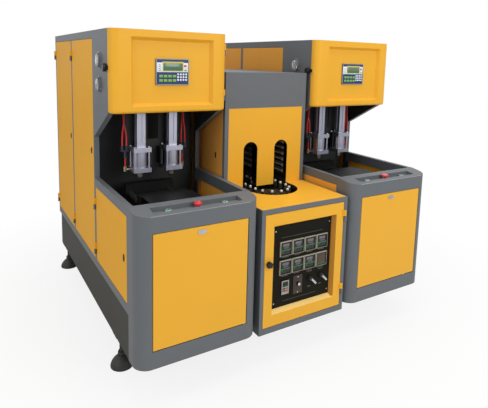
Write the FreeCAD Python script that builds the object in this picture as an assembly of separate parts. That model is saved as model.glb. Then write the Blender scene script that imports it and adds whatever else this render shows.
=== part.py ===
"""Two-unit stretch blow moulding machine with a preform heater between the units.

Frame: +Z up, origin on the floor under the middle of the machine, -Y is the operator's side.
Everything is drawn in millimetres with Y measured from the front of the housings, and each
finished piece is moved back by half the depth. Unit pieces are drawn with X measured from the
unit's left side.
"""
import FreeCAD, Part
import math
import os

V = FreeCAD.Vector

# Overall sizes
UNIT_W = 612.0            # width of one moulding unit
UNIT_D = 1765.0           # depth of the machine
HEIGHT = 1680.0           # height over the hoods
HEATER_W = 556.0          # width of the heater cabinet
UNIT_GAP = 19.0           # free space between the heater and each unit
SHEET = 3.0               # cover sheets
SEAT = 0.3                # free space between pieces of different bodies
RUN = 0.08                # radial clearance of a shaft in its bore

# Welded side frames of a unit
FRAME_T = 27.0            # thickness of a side frame
BASE_TOP = 415.0
RIM_Z = 908.0             # top of the side rims beside the mould space
HOUSING_D = 118.0         # depth of the front housing at the sides
THROAT_BACK = 691.0
HOOD_BACK = 410.0
HOOD_H = 398.0
HOOD_BOTTOM = HEIGHT - HOOD_H
THROAT_SLOPE = 153.0      # rise of the slope from the throat's back to the hood
THROAT_TOP = HOOD_BOTTOM - THROAT_SLOPE
TOP_RAIL = 42.0           # rail over the doors
LIP = 12.0                # stop behind each door
PARTITION_Y = 760.0

# Side doors: front edge, rear edge, bottom, top
DOOR_T = 18.0
DOOR_SHEET = 2.0
DOOR_GAP = 1.5
DOOR_FOLD = 12.0          # width of the folded edge behind a door
DOOR_BOTTOM = 459.0
DOOR_TOP = HEIGHT - TOP_RAIL
FRONT_DOOR = (138.0, 669.0, DOOR_BOTTOM, RIM_Z - 47.0)
MIDDLE_DOOR = (705.0, 1210.0, DOOR_BOTTOM, DOOR_TOP)
REAR_DOOR = (1240.0, UNIT_D - 23.0, DOOR_BOTTOM, DOOR_TOP)
SIDE_DOORS = (FRONT_DOOR, MIDDLE_DOOR, REAR_DOOR)

# Lift-off hinges
HINGE_R = 6.0
HINGE_PIN_R = 3.0
HINGE_HALF = 30.0
HINGE_SET = 8.0           # from a door's edge to its hinge axis
HINGE_LEAF = 14.0
HINGE_INSETS = (64.0, 90.0)   # from a side door's lower and upper end to the middle of its hinge

# Oval quarter-turn locks
LOCK_W = 15.0
LOCK_H = 34.0
LOCK_T = 3.0
LOCK_SET = 38.0           # from a side door's front edge

# Air inlet in each unit's back
INLET_Z = 500.0
INLET_R = 9.3
INLET_LEN = 24.0
INLET_BOSS_R = 22.0

# Base and feet
BASE_BOTTOM = 178.0
BASE_INSET = 10.0
CHANNEL_W = 50.0
CHANNEL_T = 8.0
FOOT_R = 57.0
FOOT_NECK_R = 20.0
FOOT_STEM_R = 12.0
FOOT_PAD_T = 8.0
FOOT_PAD_HALF = 36.0
FOOT_INSET = 48.0
FOOT_BELL = ((0.0, 9.0), (5.0, 23.0), (14.0, 37.0), (26.0, 49.0))   # in from the rim, and up
FOOT_BELL_H = 57.0
FOOT_NUT_Z = 60.0
FOOT_YS = (387.0, UNIT_D - 54.0)
HEATER_FOOT_X = 0.5 * HEATER_W - 63.0
HEATER_FOOT_YS = (400.0, 1130.0)

# Front housing and its ledge
HOUSING_BOTTOM = 200.0
HOUSING_FRONT_Z = 890.0   # ledge at its front edge
HOUSING_R = 68.0
LEDGE_BACK = 129.0
LEDGE_T = 42.0
TROUGH = (84.0, UNIT_W - 89.0, 30.0, 84.0)
TROUGH_FLOOR = 882.0
PANEL = (71.0, UNIT_W - 71.0, 284.0, 812.0)
PANEL_T = 20.0
PANEL_GAP = 3.0
PANEL_EDGE_R = 3.0
PANEL_PIN = 8.0           # from the panel's bottom and front to its tilting pins
PANEL_PIN_R = 3.0
PANEL_EAR = 8.0
PANEL_LOCK = (0.5 * UNIT_W - 7.0, 788.0, 44.0, 20.0)

# Push buttons on the ledge
BUTTON_Y = 59.0
START_XS = (162.0, UNIT_W - 167.0)
STOP_X = 0.5 * UNIT_W - 2.0
BEZEL_R = 14.5
BEZEL_H = 5.0
START_R = 10.5
START_TRAVEL = 4.0
STOP_CAP_R = 20.0
STOP_STEM_R = 9.0
STOP_TRAVEL = 5.0
STOP_LIFT = 10.0          # from the bezel to the widest part of the head

# Hood and its terminal
HOOD_FRONT = 365.0
HOOD_R = 44.0
HOOD_BOTTOM_R = 14.0
HOOD_FIELD = (98.0, 83.0, 33.0, 35.0)   # field inside the hood's left, right, lower and upper edges
HOOD_RECESS = (HOOD_FIELD[0], UNIT_W - HOOD_FIELD[1], HOOD_BOTTOM + HOOD_FIELD[2], HEIGHT - HOOD_FIELD[3])
HOOD_BEVEL = 15.0
HOOD_RECESS_D = 20.0
TERMINAL_W = 173.0
TERMINAL_H = 127.0
TERMINAL_DROP = 135.0     # from the hood's top
TERMINAL_SET = 4.5        # from the unit's middle
TERMINAL_X = 0.5 * UNIT_W + TERMINAL_SET
TERMINAL_Z = HEIGHT - TERMINAL_DROP
TERMINAL = (TERMINAL_X - 0.5 * TERMINAL_W, TERMINAL_X + 0.5 * TERMINAL_W, TERMINAL_Z - TERMINAL_H, TERMINAL_Z)
TERMINAL_T = 7.0
TERMINAL_BACK = 26.0
TERMINAL_RIM = 8.0
HOOD_HINGE_ZS = (HOOD_BOTTOM + 78.0, HEIGHT - 80.0)
KNOB_DROP = 182.0         # hood latch below the hood's top
KNOB_Z = HEIGHT - KNOB_DROP
KNOB_R = 20.0

# Gauges on the left face of each unit
GAUGE_R = 44.0
GAUGE_DIAL_R = 34.0
GAUGE_PROUD = 13.0
GAUGE_YS = (558.0, 563.0)
GAUGE_DROPS = (150.0, 269.0)   # below the hood's top
GAUGE_PLACES = [(y, HEIGHT - drop) for y, drop in zip(GAUGE_YS, GAUGE_DROPS)]
GAUGE_DEEP = 30.0         # case behind the cabinet's face
GAUGE_SOCKET = 18.0
GAUGE_SOCKET_R = 9.0

# Clamp
CAVITY_PITCH = 174.0
MID_X = 0.5 * UNIT_W
MOULD_X = MID_X - 22.0    # middle of the clamp and the blow cylinders
PART_Y = 540.0            # parting plane under the blow cylinders
MOULD_HALF = 90.0         # thickness of one mould half
CLAMP_W = 270.0
CLAMP_TOP = 870.0
CLAMP_BOTTOM = 560.0
FRONT_PLATE_Y = 242.0
PLATE_T = 28.0
PLATEN_T = 70.0
REAR_PLATEN_T = 40.0
CLAMP_TRAVEL = 105.0      # stroke of the moving platen
GUARD_T = 6.0             # cover over the space that the moving platen runs through
RUN_GAP = 2.0             # free space over and under the moving platen
BED_T = 20.0
BED_W = 320.0
BED_WEB = 16.0
TIE_R = 16.0
TIE_X = 110.0
TIE_ZS = (602.0, 812.0)
TIE_FIT = 0.05            # radial clearance of the tie bars in plates and nuts
TIE_NUT_ACROSS = 44.0
TIE_NUT_T = 18.0
TIE_END = 6.0             # thread past the nuts
RAM_R = 20.0
RAM_BARREL_R = 75.0
RAM_BORE_R = 60.0
RAM_INSIDE = 6.0          # ram inside its barrel when the mould is shut
RAM_END = 8.0             # closed end of the barrel
RAM_FLANGE_T = 14.0
RAM_FLANGE_RIM = 6.0      # flange past the barrel
PLATEN_RIB = 60.0         # moving platen beside its pocket
POCKET_DEEP = 40.0
POCKET_BELOW = 55.0       # from the ram's axis down to the pocket
RAM_Z = 715.0
MOULD_BOLT_X = 70.0
MOULD_BOLT_Z = 60.0
MOULD_BOLT_R = 5.1
MOULD_BOLT_DEPTH = 22.0

# Blow cylinders, nozzles and stretch rods
BLOCK = 93.0
BLOCK_BOTTOM = 958.0
BLOCK_TOP = 1088.0
CAP_T = 24.0
BARREL_R = 38.0
TIE_ROD_R = 5.0
TIE_ROD_SET = 37.0
NOZZLE_R = 12.0
NOZZLE_GUIDED = 34.0      # nozzle left inside its cylinder when it is down
NOZZLE_HEAD_R = 15.5
NOZZLE_HEAD_Z = 948.0
NOZZLE_TIP = 919.0
NOZZLE_TRAVEL = 60.0      # stroke of the blow nozzles
ROD_R = 6.0
ROD_TRAVEL = 250.0        # stroke of the stretch rods
ROD_TIP = 928.0
PROFILE_TOP = HEIGHT - 120.0
ROD_TOP = PROFILE_TOP - 30.0   # upper face of the piston at rest
ROD_PISTON_R = 14.0
ROD_PISTON_T = 20.0
PROFILE_W = 45.0
PROFILE_CAP = 8.0         # closed end of a profile
GROOVE_W = 10.0
GROOVE_DEEP = 3.0
GROOVE_END = 20.0         # plain end of a profile beside its grooves
PROFILE_BORE_R = 16.0
BACK_PLATE_T = 8.0
BACK_PLATE_W = 300.0
BEAM = 40.0
HOSE_LOW_Z = BLOCK_TOP + 6.0
UPPER_BEAM_Z = HEIGHT - 100.0
BEAM_SHARE = 0.42         # place of the lower beam between the hoses and the upper beam
BEAM_ZS = (HOSE_LOW_Z + BEAM_SHARE * (UPPER_BEAM_Z - HOSE_LOW_Z), UPPER_BEAM_Z)

# Air hoses and fittings
HOSE_R = 4.0
HOSE_FIT_R = 7.0
HOSE_COLLAR = 10.0
HOSE_TOP_X = 164.0        # from the moulds' middle to the upper ends
HOSE_LOW_X = 152.0        # from the moulds' middle to the inner lower end
DROP_SET = 26.0           # short hoses beside the blow cylinders
DROP_DOWN = 56.0          # short hoses' upper ends below the blow cylinders' top
DROP_LEN = 46.0
HOSE_SPREAD = 22.0
HOSE_BLOCK_D = 46.0
ELBOW_R = 9.0

# Heater cabinet
HEATER_FRONT = 20.0
HEATER_BACK = 1200.0
HEATER_BOTTOM = 174.0
HEATER_TOP = 803.0
TABLE_TOP = 828.0
HEATER_BORDER = 24.0
HEATER_EDGE = (22.0, 24.0)      # left and right border beside the door
HEATER_DOOR = (HEATER_EDGE[0] - 0.5 * HEATER_W, 0.5 * HEATER_W - HEATER_EDGE[1], 208.0, HEATER_TOP - 3.0)
HEATER_DOOR_T = 20.0
HEATER_DOOR_GAP = 1.5
RECESS_EDGE = (52.0, 51.0, 63.0, 62.0)  # recess inside the door's left, right, lower and upper edges
HEATER_RECESS = (HEATER_DOOR[0] + RECESS_EDGE[0], HEATER_DOOR[1] - RECESS_EDGE[1],
                 HEATER_DOOR[2] + RECESS_EDGE[2], HEATER_DOOR[3] - RECESS_EDGE[3])
HEATER_BEVEL = 12.0
HEATER_RECESS_D = 28.0
HEATER_HINGE_ZS = (305.0, 724.0)
HEATER_KNOB_SET = 23.0    # from the door's left edge
HEATER_KNOB = (HEATER_DOOR[0] + HEATER_KNOB_SET, 548.0)
HEATER_KNOB_R = 17.0
SPACER_R = 12.0
SPACER_YS = (300.0, 1100.0)
PLATE_MARGIN = 2.0        # control plate inside the recess floor
CONTROL_T = 3.0

# Instruments on the control plate
CONTROLLER_W = 74.0
CONTROLLER_H = 77.0
CONTROLLER_PITCH = (79.0, 101.0)
CONTROLLER_MID = (6.0, 548.0)
CONTROLLER_PROUD = 9.0
CONTROLLER_DEEP = 62.0
WINDOW_W = 61.0
KEYPAD = (-133.0, -83.0, 348.0, 426.0)
KNOB_PLATE = (-57.0, 5.0, 333.0, 437.0)
SPEED_KNOB = (-26.0, 390.0)
SPEED_KNOB_R = 10.0
SWITCHES = ((52.0, 402.0), (126.0, 405.0))
SWITCH_R = 14.0
SWITCH_SHAFT_R = 5.0

# Conveyor
SPROCKET_R = 105.0
SPROCKET_PITCHES = 12      # chain pitches round a wheel
MANDREL_PITCH = 2.0 * SPROCKET_R * math.sin(math.pi / SPROCKET_PITCHES)
RUN_PITCHES = 12
CONVEYOR_FRONT = 360.0
CONVEYOR_BACK = CONVEYOR_FRONT + RUN_PITCHES * MANDREL_PITCH
SLOT_R = 153.5
ISLAND_R = 52.0
SPINDLE_R = 7.5
CHAIN_Z = 778.0
CHAIN_T = 4.0
LINK_W = 24.0
SPROCKET_Z = 786.0
SPROCKET_T = 8.0
SPROCKET_HUB_R = 34.0
WHEEL_HOLE_R = 15.0
WHEEL_HOLE_SET = 66.0     # from the wheel's axis to its lightening holes
WHEEL_HOLES = 6
HUB_STEP = 6.0
HUB_LOW = 20.0            # hub below the wheel
HUB_HIGH = 8.0            # each step of the hub above the wheel
SHAFT_LOW = 30.0          # shaft end below the tray's underside
SHAFT_END = 4.0           # shaft above the hub
SHAFT_R = 12.5
MANDREL_TIP = 840.0
MANDREL_R = 13.0
MANDREL_PLUG_R = 8.0      # plug that the preform's neck slips over
MANDREL_PLUG = 26.0
BED_Z = 735.0
BED_SHEET = 6.0
BEARING_DEEP = 20.0       # shaft bearings under the tray
BEARING_WALL = 14.0
TRAY_FRONT = 150.0
COVER_GAP = 12.0          # from the chain wheels' pitch circle to the middle cover
COVER_TOP = TABLE_TOP - 4.0
COVER_T = 6.0
COVER_POST_R = 12.0
COVER_POST_IN = 40.0

# Gear motor under the tray
GEAR_HALF = (55.0, 60.0)
GEAR_H = 90.0
GEAR_BORE = 14.0
MOTOR_R = 42.0
MOTOR_LEN = 180.0
FAN_R = 46.0
FAN_LEN = 22.0

# Oven tower
TOWER_W = HEATER_W - 6.0
TOWER_FRONT = 421.0
TOWER_TOP = 1483.0
TOWER_BAND = 1284.0
TOWER_POST = 24.0
OVEN_LOCK_SET = 75.0
OVEN_LOCK_RISE = 184.0
OVEN_LOCK_Z = TABLE_TOP + OVEN_LOCK_RISE
ARCH_W = 93.0
ARCH_X = 105.0
ARCH_TOP = 1090.0
ARCH_FOLD = 7.0           # folded edges of the arch panel
ARCH_SHEET = 3.0
LAMP_R = 5.5
LAMP_ROWS = 6
LAMP_Z = 880.0
LAMP_PITCH = 36.0
LAMP_Y = (480.0, 960.0)
LAMP_X = 176.0
REFLECTOR_T = 2.5
REFLECTOR_TOP = 1110.0

UNIT_LEFT = (-(UNIT_W + UNIT_GAP + 0.5 * HEATER_W), UNIT_GAP + 0.5 * HEATER_W)
UNIT_NAMES = ("left", "right")

pieces = {}


# Basic shapes

def box(x0, x1, y0, y1, z0, z1):
    """A block between two corners."""
    return Part.makeBox(x1 - x0, y1 - y0, z1 - z0, V(x0, y0, z0))


def rod_x(x0, x1, y, z, r):
    return Part.makeCylinder(r, x1 - x0, V(x0, y, z), V(1, 0, 0))


def rod_y(x, y0, y1, z, r):
    return Part.makeCylinder(r, y1 - y0, V(x, y0, z), V(0, 1, 0))


def rod_z(x, y, z0, z1, r):
    return Part.makeCylinder(r, z1 - z0, V(x, y, z0), V(0, 0, 1))


def hex_nut(x, y, z, across, thick, axis):
    """A hexagonal nut whose lower face is at the point, standing along the axis."""
    r = across / math.sqrt(3.0)
    ring = [V(r * math.cos(math.radians(60 * i)), r * math.sin(math.radians(60 * i)), 0) for i in range(7)]
    nut = Part.Face(Part.makePolygon(ring)).extrude(V(0, 0, thick))
    nut.Placement = FreeCAD.Placement(V(x, y, z), FreeCAD.Rotation(V(0, 0, 1), axis))
    return nut


def side_outline(points, x0, x1):
    """A plate with a (y, z) outline between two X planes."""
    ring = [V(x0, y, z) for y, z in points]
    return Part.Face(Part.makePolygon(ring + ring[:1])).extrude(V(x1 - x0, 0, 0))


def front_taper(inner, outer, y0, y1):
    """A tapered block from one (x0, x1, z0, z1) rectangle at y0 to another at y1."""
    rings = []
    for (x0, x1, z0, z1), y in ((inner, y0), (outer, y1)):
        ring = [V(x0, y, z0), V(x1, y, z0), V(x1, y, z1), V(x0, y, z1)]
        rings.append(Part.makePolygon(ring + ring[:1]))
    return Part.makeLoft(rings, True, True)


def revolved(profile, x, y):
    """A solid turned about a vertical axis from (radius, height) points."""
    ring = [V(r, 0, z) for r, z in profile]
    solid = Part.Face(Part.makePolygon(ring + ring[:1])).revolve(V(0, 0, 0), V(0, 0, 1), 360)
    return solid.translated(V(x, y, 0))


def turned(profile, place, axis):
    """A solid turned from (radius, height) points and stood along an axis at a place."""
    solid = revolved(profile, 0, 0)
    solid.Placement = FreeCAD.Placement(V(*place), FreeCAD.Rotation(V(0, 0, 1), V(*axis)))
    return solid


def oblong(half_run, mid_y, r, z0, z1):
    """An oblong block along Y with round ends, centred on x = 0."""
    block = box(-r, r, mid_y - half_run, mid_y + half_run, z0, z1)
    ends = [rod_z(0, mid_y + s * half_run, z0, z1, r) for s in (-1, 1)]
    return joined([block] + ends)


def joined(shapes):
    whole = shapes[0].fuse(shapes[1:]) if len(shapes) > 1 else shapes[0]
    return whole.removeSplitter()


def rounded(shape, r, picks):
    """The shape with the edges that picks() accepts filleted."""
    edges = [e for e in shape.Edges if picks(e)]
    return shape.makeFillet(r, edges)


def is_upright(edge):
    a, b = edge.Vertexes[0].Point, edge.Vertexes[-1].Point
    return abs(a.x - b.x) < 1e-6 and abs(a.y - b.y) < 1e-6


def is_bottom_rim(edge, z, back):
    """An edge round the lower face at a height, apart from the one at the back."""
    around = edge.BoundBox
    return around.ZMax < z + 1e-6 and around.YMin < back - 1e-6


def mirrored(shape):
    """The same piece for the other side of a unit."""
    return shape.mirror(V(MID_X, 0, 0), V(1, 0, 0))


def keep(name, shapes):
    """Store one node, moved so that the origin is under the middle of the machine."""
    shapes = shapes if isinstance(shapes, list) else [shapes]
    moved = [s.translated(V(0, -0.5 * UNIT_D, 0)) for s in shapes]
    pieces[name] = moved[0] if len(moved) == 1 else Part.makeCompound(moved)


def in_unit(shape, unit):
    return shape.translated(V(UNIT_LEFT[unit], 0, 0))


def in_units(shapes):
    """Copies of unit pieces in both units."""
    return [in_unit(s, unit) for unit in (0, 1) for s in shapes]


def faces_left(unit):
    """The outer side of the left unit is its left side."""
    return unit == 0


# Hinges, locks and doors

def hinge_lower(x, y, z, toward):
    """Fixed half with its pin: the leaf lies on the face behind the axis."""
    leaf = box(x, x + HINGE_R, *sorted((y, y + toward * HINGE_LEAF)), z - HINGE_HALF, z - SEAT)
    barrel = rod_z(x, y, z - HINGE_HALF, z - SEAT, HINGE_R)
    pin = rod_z(x, y, z - SEAT, z + 0.7 * HINGE_HALF, HINGE_PIN_R)
    return joined([leaf, barrel, pin])


def hinge_upper(x, y, z, toward):
    """Moving half, bored for the pin."""
    leaf = box(x, x + HINGE_R, *sorted((y, y + toward * HINGE_LEAF)), z, z + HINGE_HALF)
    barrel = rod_z(x, y, z, z + HINGE_HALF, HINGE_R)
    bore = rod_z(x, y, z, z + 0.7 * HINGE_HALF + 1.0, HINGE_PIN_R + RUN)
    return joined([leaf, barrel]).cut(bore)


def oval_lock(y, z, wide, high):
    """An oval lock plate with a round core, proud of the plane x = 0."""
    r = 0.5 * min(wide, high)
    half_y = 0.5 * wide - r
    half_z = 0.5 * high - r
    body = box(-LOCK_T, 0, y - max(half_y, r if half_z else 0), y + max(half_y, r if half_z else 0),
               z - max(half_z, r if half_y else 0), z + max(half_z, r if half_y else 0))
    ends = [rod_x(-LOCK_T, 0, y + s * half_y, z + s * half_z, r) for s in (-1, 1)]
    core = rod_x(-LOCK_T - 1.5, 0, y, z, 0.65 * r)
    return joined([body] + ends + [core])


def hinge_heights(door):
    return (door[2] + HINGE_INSETS[0], door[3] - HINGE_INSETS[1])


def pan(y0, y1, z0, z1, thick, fold):
    """A door sheet in the plane x = 0 with its edges folded in and back."""
    outer = box(0, thick, y0, y1, z0, z1)
    outer = rounded(outer, DOOR_SHEET, lambda e: e.BoundBox.XMax < 1e-6)
    t = DOOR_SHEET
    deep = box(t, thick - t, y0 + t, y1 - t, z0 + t, z1 - t)
    mouth = box(t, thick, y0 + fold, y1 - fold, z0 + fold, z1 - fold)
    return outer.cut([deep, mouth])


def side_door(door, hinged):
    y0, y1, z0, z1 = door
    leaf = pan(y0, y1, z0, z1, DOOR_T, DOOR_FOLD)
    lock = oval_lock(y0 + LOCK_SET, 0.5 * (z0 + z1), LOCK_W, LOCK_H)
    parts = [leaf, lock]
    if hinged:
        parts += [hinge_upper(-HINGE_R, y1 + HINGE_SET, z, -1) for z in hinge_heights(door)]
    return joined(parts)


def side_doors():
    """Outer doors swing on their hinges, inner ones face the heater and stay shut."""
    for unit, name in enumerate(UNIT_NAMES):
        for door, place in zip(SIDE_DOORS, ("front", "middle", "rear")):
            leaf = side_door(door, True)
            leaf = leaf if faces_left(unit) else mirrored(leaf)
            keep(f"{name}_{place}_door", in_unit(leaf, unit))
    inner = [side_door(door, False) for door in SIDE_DOORS]
    keep("inner_side_panels", [in_unit(mirrored(s), 0) for s in inner] + [in_unit(s, 1) for s in inner])


# Cabinets of the units

def instrument_field():
    """Thin field of each side frame that the gauges are let into, as (y0, y1, z0, z1)."""
    back = max(y for y, z in GAUGE_PLACES) + GAUGE_R + SEAT
    return HOOD_BACK + FRAME_T, back, HOOD_BOTTOM + FRAME_T, HEIGHT - TOP_RAIL


def frame_members():
    """Members of a side frame between their weld seams, each as (y0, y1, z0, z1)."""
    low = DOOR_BOTTOM + LIP
    high = DOOR_TOP - LIP
    y0, y1, z0, z1 = instrument_field()
    front_top = FRONT_DOOR[3] - LIP
    post0 = FRONT_DOOR[1] - LIP
    post1 = MIDDLE_DOOR[0] + LIP
    return [(HOUSING_D, UNIT_D, BASE_TOP, low),
            (HOUSING_D, FRONT_DOOR[0] + LIP, low, front_top),
            (HOUSING_D, post0, front_top, RIM_Z),
            (post0, post1, low, RIM_Z),
            (THROAT_BACK, post1, RIM_Z, THROAT_TOP),
            (HOOD_BACK, post1, THROAT_TOP, z0),
            (HOOD_BACK, y0, z0, z1),
            (y0, y1, z0, z1),
            (y1, post1, z0, z1),
            (HOOD_BACK, post1, z1, HEIGHT),
            (post1, UNIT_D, high, HEIGHT),
            (MIDDLE_DOOR[1] - LIP, REAR_DOOR[0] + LIP, low, high),
            (REAR_DOOR[1] - LIP, UNIT_D, low, high)]


def side_frame(unit_side_outer):
    """One side as welded members round rebated door openings, with its hinge halves."""
    outline = [(HOUSING_D, BASE_TOP), (UNIT_D, BASE_TOP), (UNIT_D, HEIGHT), (HOOD_BACK, HEIGHT),
               (HOOD_BACK, HOOD_BOTTOM), (THROAT_BACK, THROAT_TOP), (THROAT_BACK, RIM_Z), (HOUSING_D, RIM_Z)]
    cuts = []
    for y0, y1, z0, z1 in SIDE_DOORS:
        g = DOOR_GAP
        cuts.append(box(0, DOOR_T + SEAT, y0 - g, y1 + g, z0 - g, z1 + g))
        cuts.append(box(0, FRAME_T, y0 + LIP, y1 - LIP, z0 + LIP, z1 - LIP))
    cuts.append(box(SHEET, FRAME_T, *instrument_field()))
    whole = side_outline(outline, 0, FRAME_T).cut(cuts)
    solids = []
    for member in frame_members():
        solids += whole.common(box(0, FRAME_T, *member)).Solids
    if unit_side_outer:
        for door in SIDE_DOORS:
            solids += [hinge_lower(-HINGE_R, door[1] + HINGE_SET, z, 1) for z in hinge_heights(door)]
    return solids


def cylinder_beam_y():
    """Front face of the beams that carry the blow cylinders' back plate."""
    return PART_Y + BLOCK / 2 + BACK_PLATE_T


def air_inlet():
    """A bored boss welded into the back sheet."""
    y0 = UNIT_D - INLET_LEN
    return rod_y(MID_X, y0, UNIT_D, INLET_Z, INLET_BOSS_R).cut(rod_y(MID_X, y0, UNIT_D, INLET_Z, INLET_R))


def cabinet(unit):
    """The welded cabinet of a unit: side frames, cross sheets, front rail and beams."""
    gauge_holes = [rod_x(0, SHEET, y, z, GAUGE_DIAL_R - 2.0) for y, z in GAUGE_PLACES]
    left = [s.cut(gauge_holes) for s in side_frame(faces_left(unit))]
    right = [mirrored(s) for s in side_frame(not faces_left(unit))]
    inner = (FRAME_T, UNIT_W - FRAME_T)
    floor = BASE_TOP + SHEET
    roof = HEIGHT - SHEET
    back = box(*inner, UNIT_D - SHEET, UNIT_D, floor, roof)
    back = back.cut(rod_y(MID_X, UNIT_D - SHEET, UNIT_D, INLET_Z, INLET_BOSS_R))
    sheets = [back,
              box(*inner, HOOD_BACK, UNIT_D, roof, HEIGHT),
              box(*inner, HOUSING_D, UNIT_D, BASE_TOP, floor),
              box(*inner, PARTITION_Y, PARTITION_Y + SHEET, floor, roof)]
    rail = box(*inner, HOOD_BACK, HOOD_BACK + FRAME_T, HEIGHT - TOP_RAIL, roof)
    y = cylinder_beam_y()
    beams = [box(*inner, y, y + BEAM, z, z + BEAM) for z in BEAM_ZS]
    hood_hinges = [hood_hinge(z, False) for z in HOOD_HINGE_ZS]
    return left + right + sheets + [rail] + beams + [air_inlet()] + hood_hinges


def cabinets():
    for unit, name in enumerate(UNIT_NAMES):
        keep(f"{name}_cabinet", [in_unit(s, unit) for s in cabinet(unit)])


def channel_ring(x0, x1, y0, y1, z0, z1):
    """A frame of C-channels: upright webs outside, flanges turned in."""
    t = CHANNEL_T
    w = CHANNEL_W
    web = box(x0, x1, y0, y1, z0, z1).cut(box(x0 + t, x1 - t, y0 + t, y1 - t, z0, z1))
    flange = box(x0, x1, y0, y1, z0, z0 + t).cut(box(x0 + w, x1 - w, y0 + w, y1 - w, z0, z0 + t))
    return joined([web, flange, flange.translated(V(0, 0, z1 - z0 - t))])


def base_frames():
    """Channel bases under the units, with a pad over each foot."""
    ring = channel_ring(BASE_INSET, UNIT_W - BASE_INSET, HOUSING_D + SHEET, UNIT_D - BASE_INSET,
                        BASE_BOTTOM, BASE_TOP)
    h = FOOT_PAD_HALF
    pads = [box(x - h, x + h, y - h, y + h, BASE_BOTTOM - FOOT_PAD_T, BASE_BOTTOM)
            for x in (FOOT_INSET, UNIT_W - FOOT_INSET) for y in FOOT_YS]
    keep("base_frames", in_units([joined([ring] + pads)]))


def foot(x, y, top):
    """A bell foot with a lock nut on its threaded stem."""
    dome = [(FOOT_R - inward, up) for inward, up in FOOT_BELL]
    bell = [(0, 0), (FOOT_R, 0)] + dome + [(FOOT_NECK_R, FOOT_BELL_H), (FOOT_STEM_R, FOOT_BELL_H),
                                           (FOOT_STEM_R, top), (0, top)]
    nut = hex_nut(x, y, FOOT_NUT_Z, 36, 18, V(0, 0, 1))
    return joined([revolved(bell, x, y), nut])


def levelling_feet():
    pad_z = BASE_BOTTOM - FOOT_PAD_T
    unit_feet = [foot(x, y, pad_z) for x in (FOOT_INSET, UNIT_W - FOOT_INSET) for y in FOOT_YS]
    heater_feet = [foot(s * HEATER_FOOT_X, y, HEATER_BOTTOM) for s in (-1, 1) for y in HEATER_FOOT_YS]
    keep("levelling_feet", in_units(unit_feet) + heater_feet)


# Front housings

def housing_blank(inset, z0, z1):
    """The housing's outline in plan, drawn inside the outer faces by the inset."""
    block = box(inset, UNIT_W - inset, inset, HOUSING_D, z0, z1)
    return rounded(block, HOUSING_R - inset, lambda e: is_upright(e) and e.BoundBox.YMax < HOUSING_D - 1)


def ledge_slope(drop):
    """Everything above the sloping ledge, lowered by the drop."""
    rise = (RIM_Z - HOUSING_FRONT_Z) / HOUSING_D
    past = 10.0
    points = [(-past, HOUSING_FRONT_Z - past * rise - drop), (HOUSING_D, RIM_Z - drop),
              (LEDGE_BACK + past, RIM_Z - drop), (LEDGE_BACK + past, RIM_Z + past), (-past, RIM_Z + past)]
    return side_outline(points, -10, UNIT_W + 10)


def front_housing():
    inner = (FRAME_T, UNIT_W - FRAME_T)
    shell = housing_blank(0, HOUSING_BOTTOM, RIM_Z).cut(ledge_slope(0))
    hollow = housing_blank(SHEET, HOUSING_BOTTOM, RIM_Z).cut(ledge_slope(SHEET))
    ledge = box(*inner, HOUSING_D, LEDGE_BACK, RIM_Z - LEDGE_T, RIM_Z)
    under = box(*inner, HOUSING_D, LEDGE_BACK - SHEET, RIM_Z - LEDGE_T, RIM_Z - SHEET)
    x0, x1, y0, y1 = TROUGH
    s = SHEET
    well = box(x0 - s, x1 + s, y0 - s, y1 + s, TROUGH_FLOOR - s, RIM_Z).cut(ledge_slope(0))
    body = joined([shell.cut(hollow), ledge.cut(under), well])
    cuts = [box(x0, x1, y0, y1, TROUGH_FLOOR, RIM_Z + 1)]
    px0, px1, pz0, pz1 = PANEL
    g = PANEL_GAP
    cuts.append(box(px0 - g, px1 + g, 0, SHEET, pz0 - g, pz1 + g))
    for x in START_XS:
        cuts.append(rod_z(x, BUTTON_Y, TROUGH_FLOOR - s, TROUGH_FLOOR, START_R + RUN))
    cuts.append(rod_z(STOP_X, BUTTON_Y, TROUGH_FLOOR - s, TROUGH_FLOOR, STOP_STEM_R + RUN))
    body = body.cut(cuts)
    fixings = [button_bezel(x, START_R) for x in START_XS] + [button_bezel(STOP_X, STOP_STEM_R)]
    return joined([body] + fixings + panel_ears())


def button_bezel(x, bore_r):
    """A ring round a button, with the guide tube below the sheet."""
    ring = rod_z(x, BUTTON_Y, TROUGH_FLOOR, TROUGH_FLOOR + BEZEL_H, BEZEL_R)
    guide = rod_z(x, BUTTON_Y, TROUGH_FLOOR - 30.0, TROUGH_FLOOR, BEZEL_R - 2.0)
    bore = rod_z(x, BUTTON_Y, TROUGH_FLOOR - 30.0, TROUGH_FLOOR + BEZEL_H, bore_r + RUN)
    return joined([ring, guide]).cut(bore)


def panel_axis():
    """Front and height of the pins that the front panel tilts on."""
    return PANEL_PIN, PANEL[2] + PANEL_PIN


def panel_ears():
    """Bored ears beside the front panel's lower corners."""
    y, z = panel_axis()
    ears = []
    for x, side in ((PANEL[0] - PANEL_GAP, -1), (PANEL[1] + PANEL_GAP, 1)):
        x0, x1 = sorted((x, x + side * PANEL_EAR))
        ear = box(x0, x1, SHEET, y + 10, z - 14, z + 14)
        ears.append(ear.cut(rod_x(x0, x1, y, z, PANEL_PIN_R + RUN)))
    return ears


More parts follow.
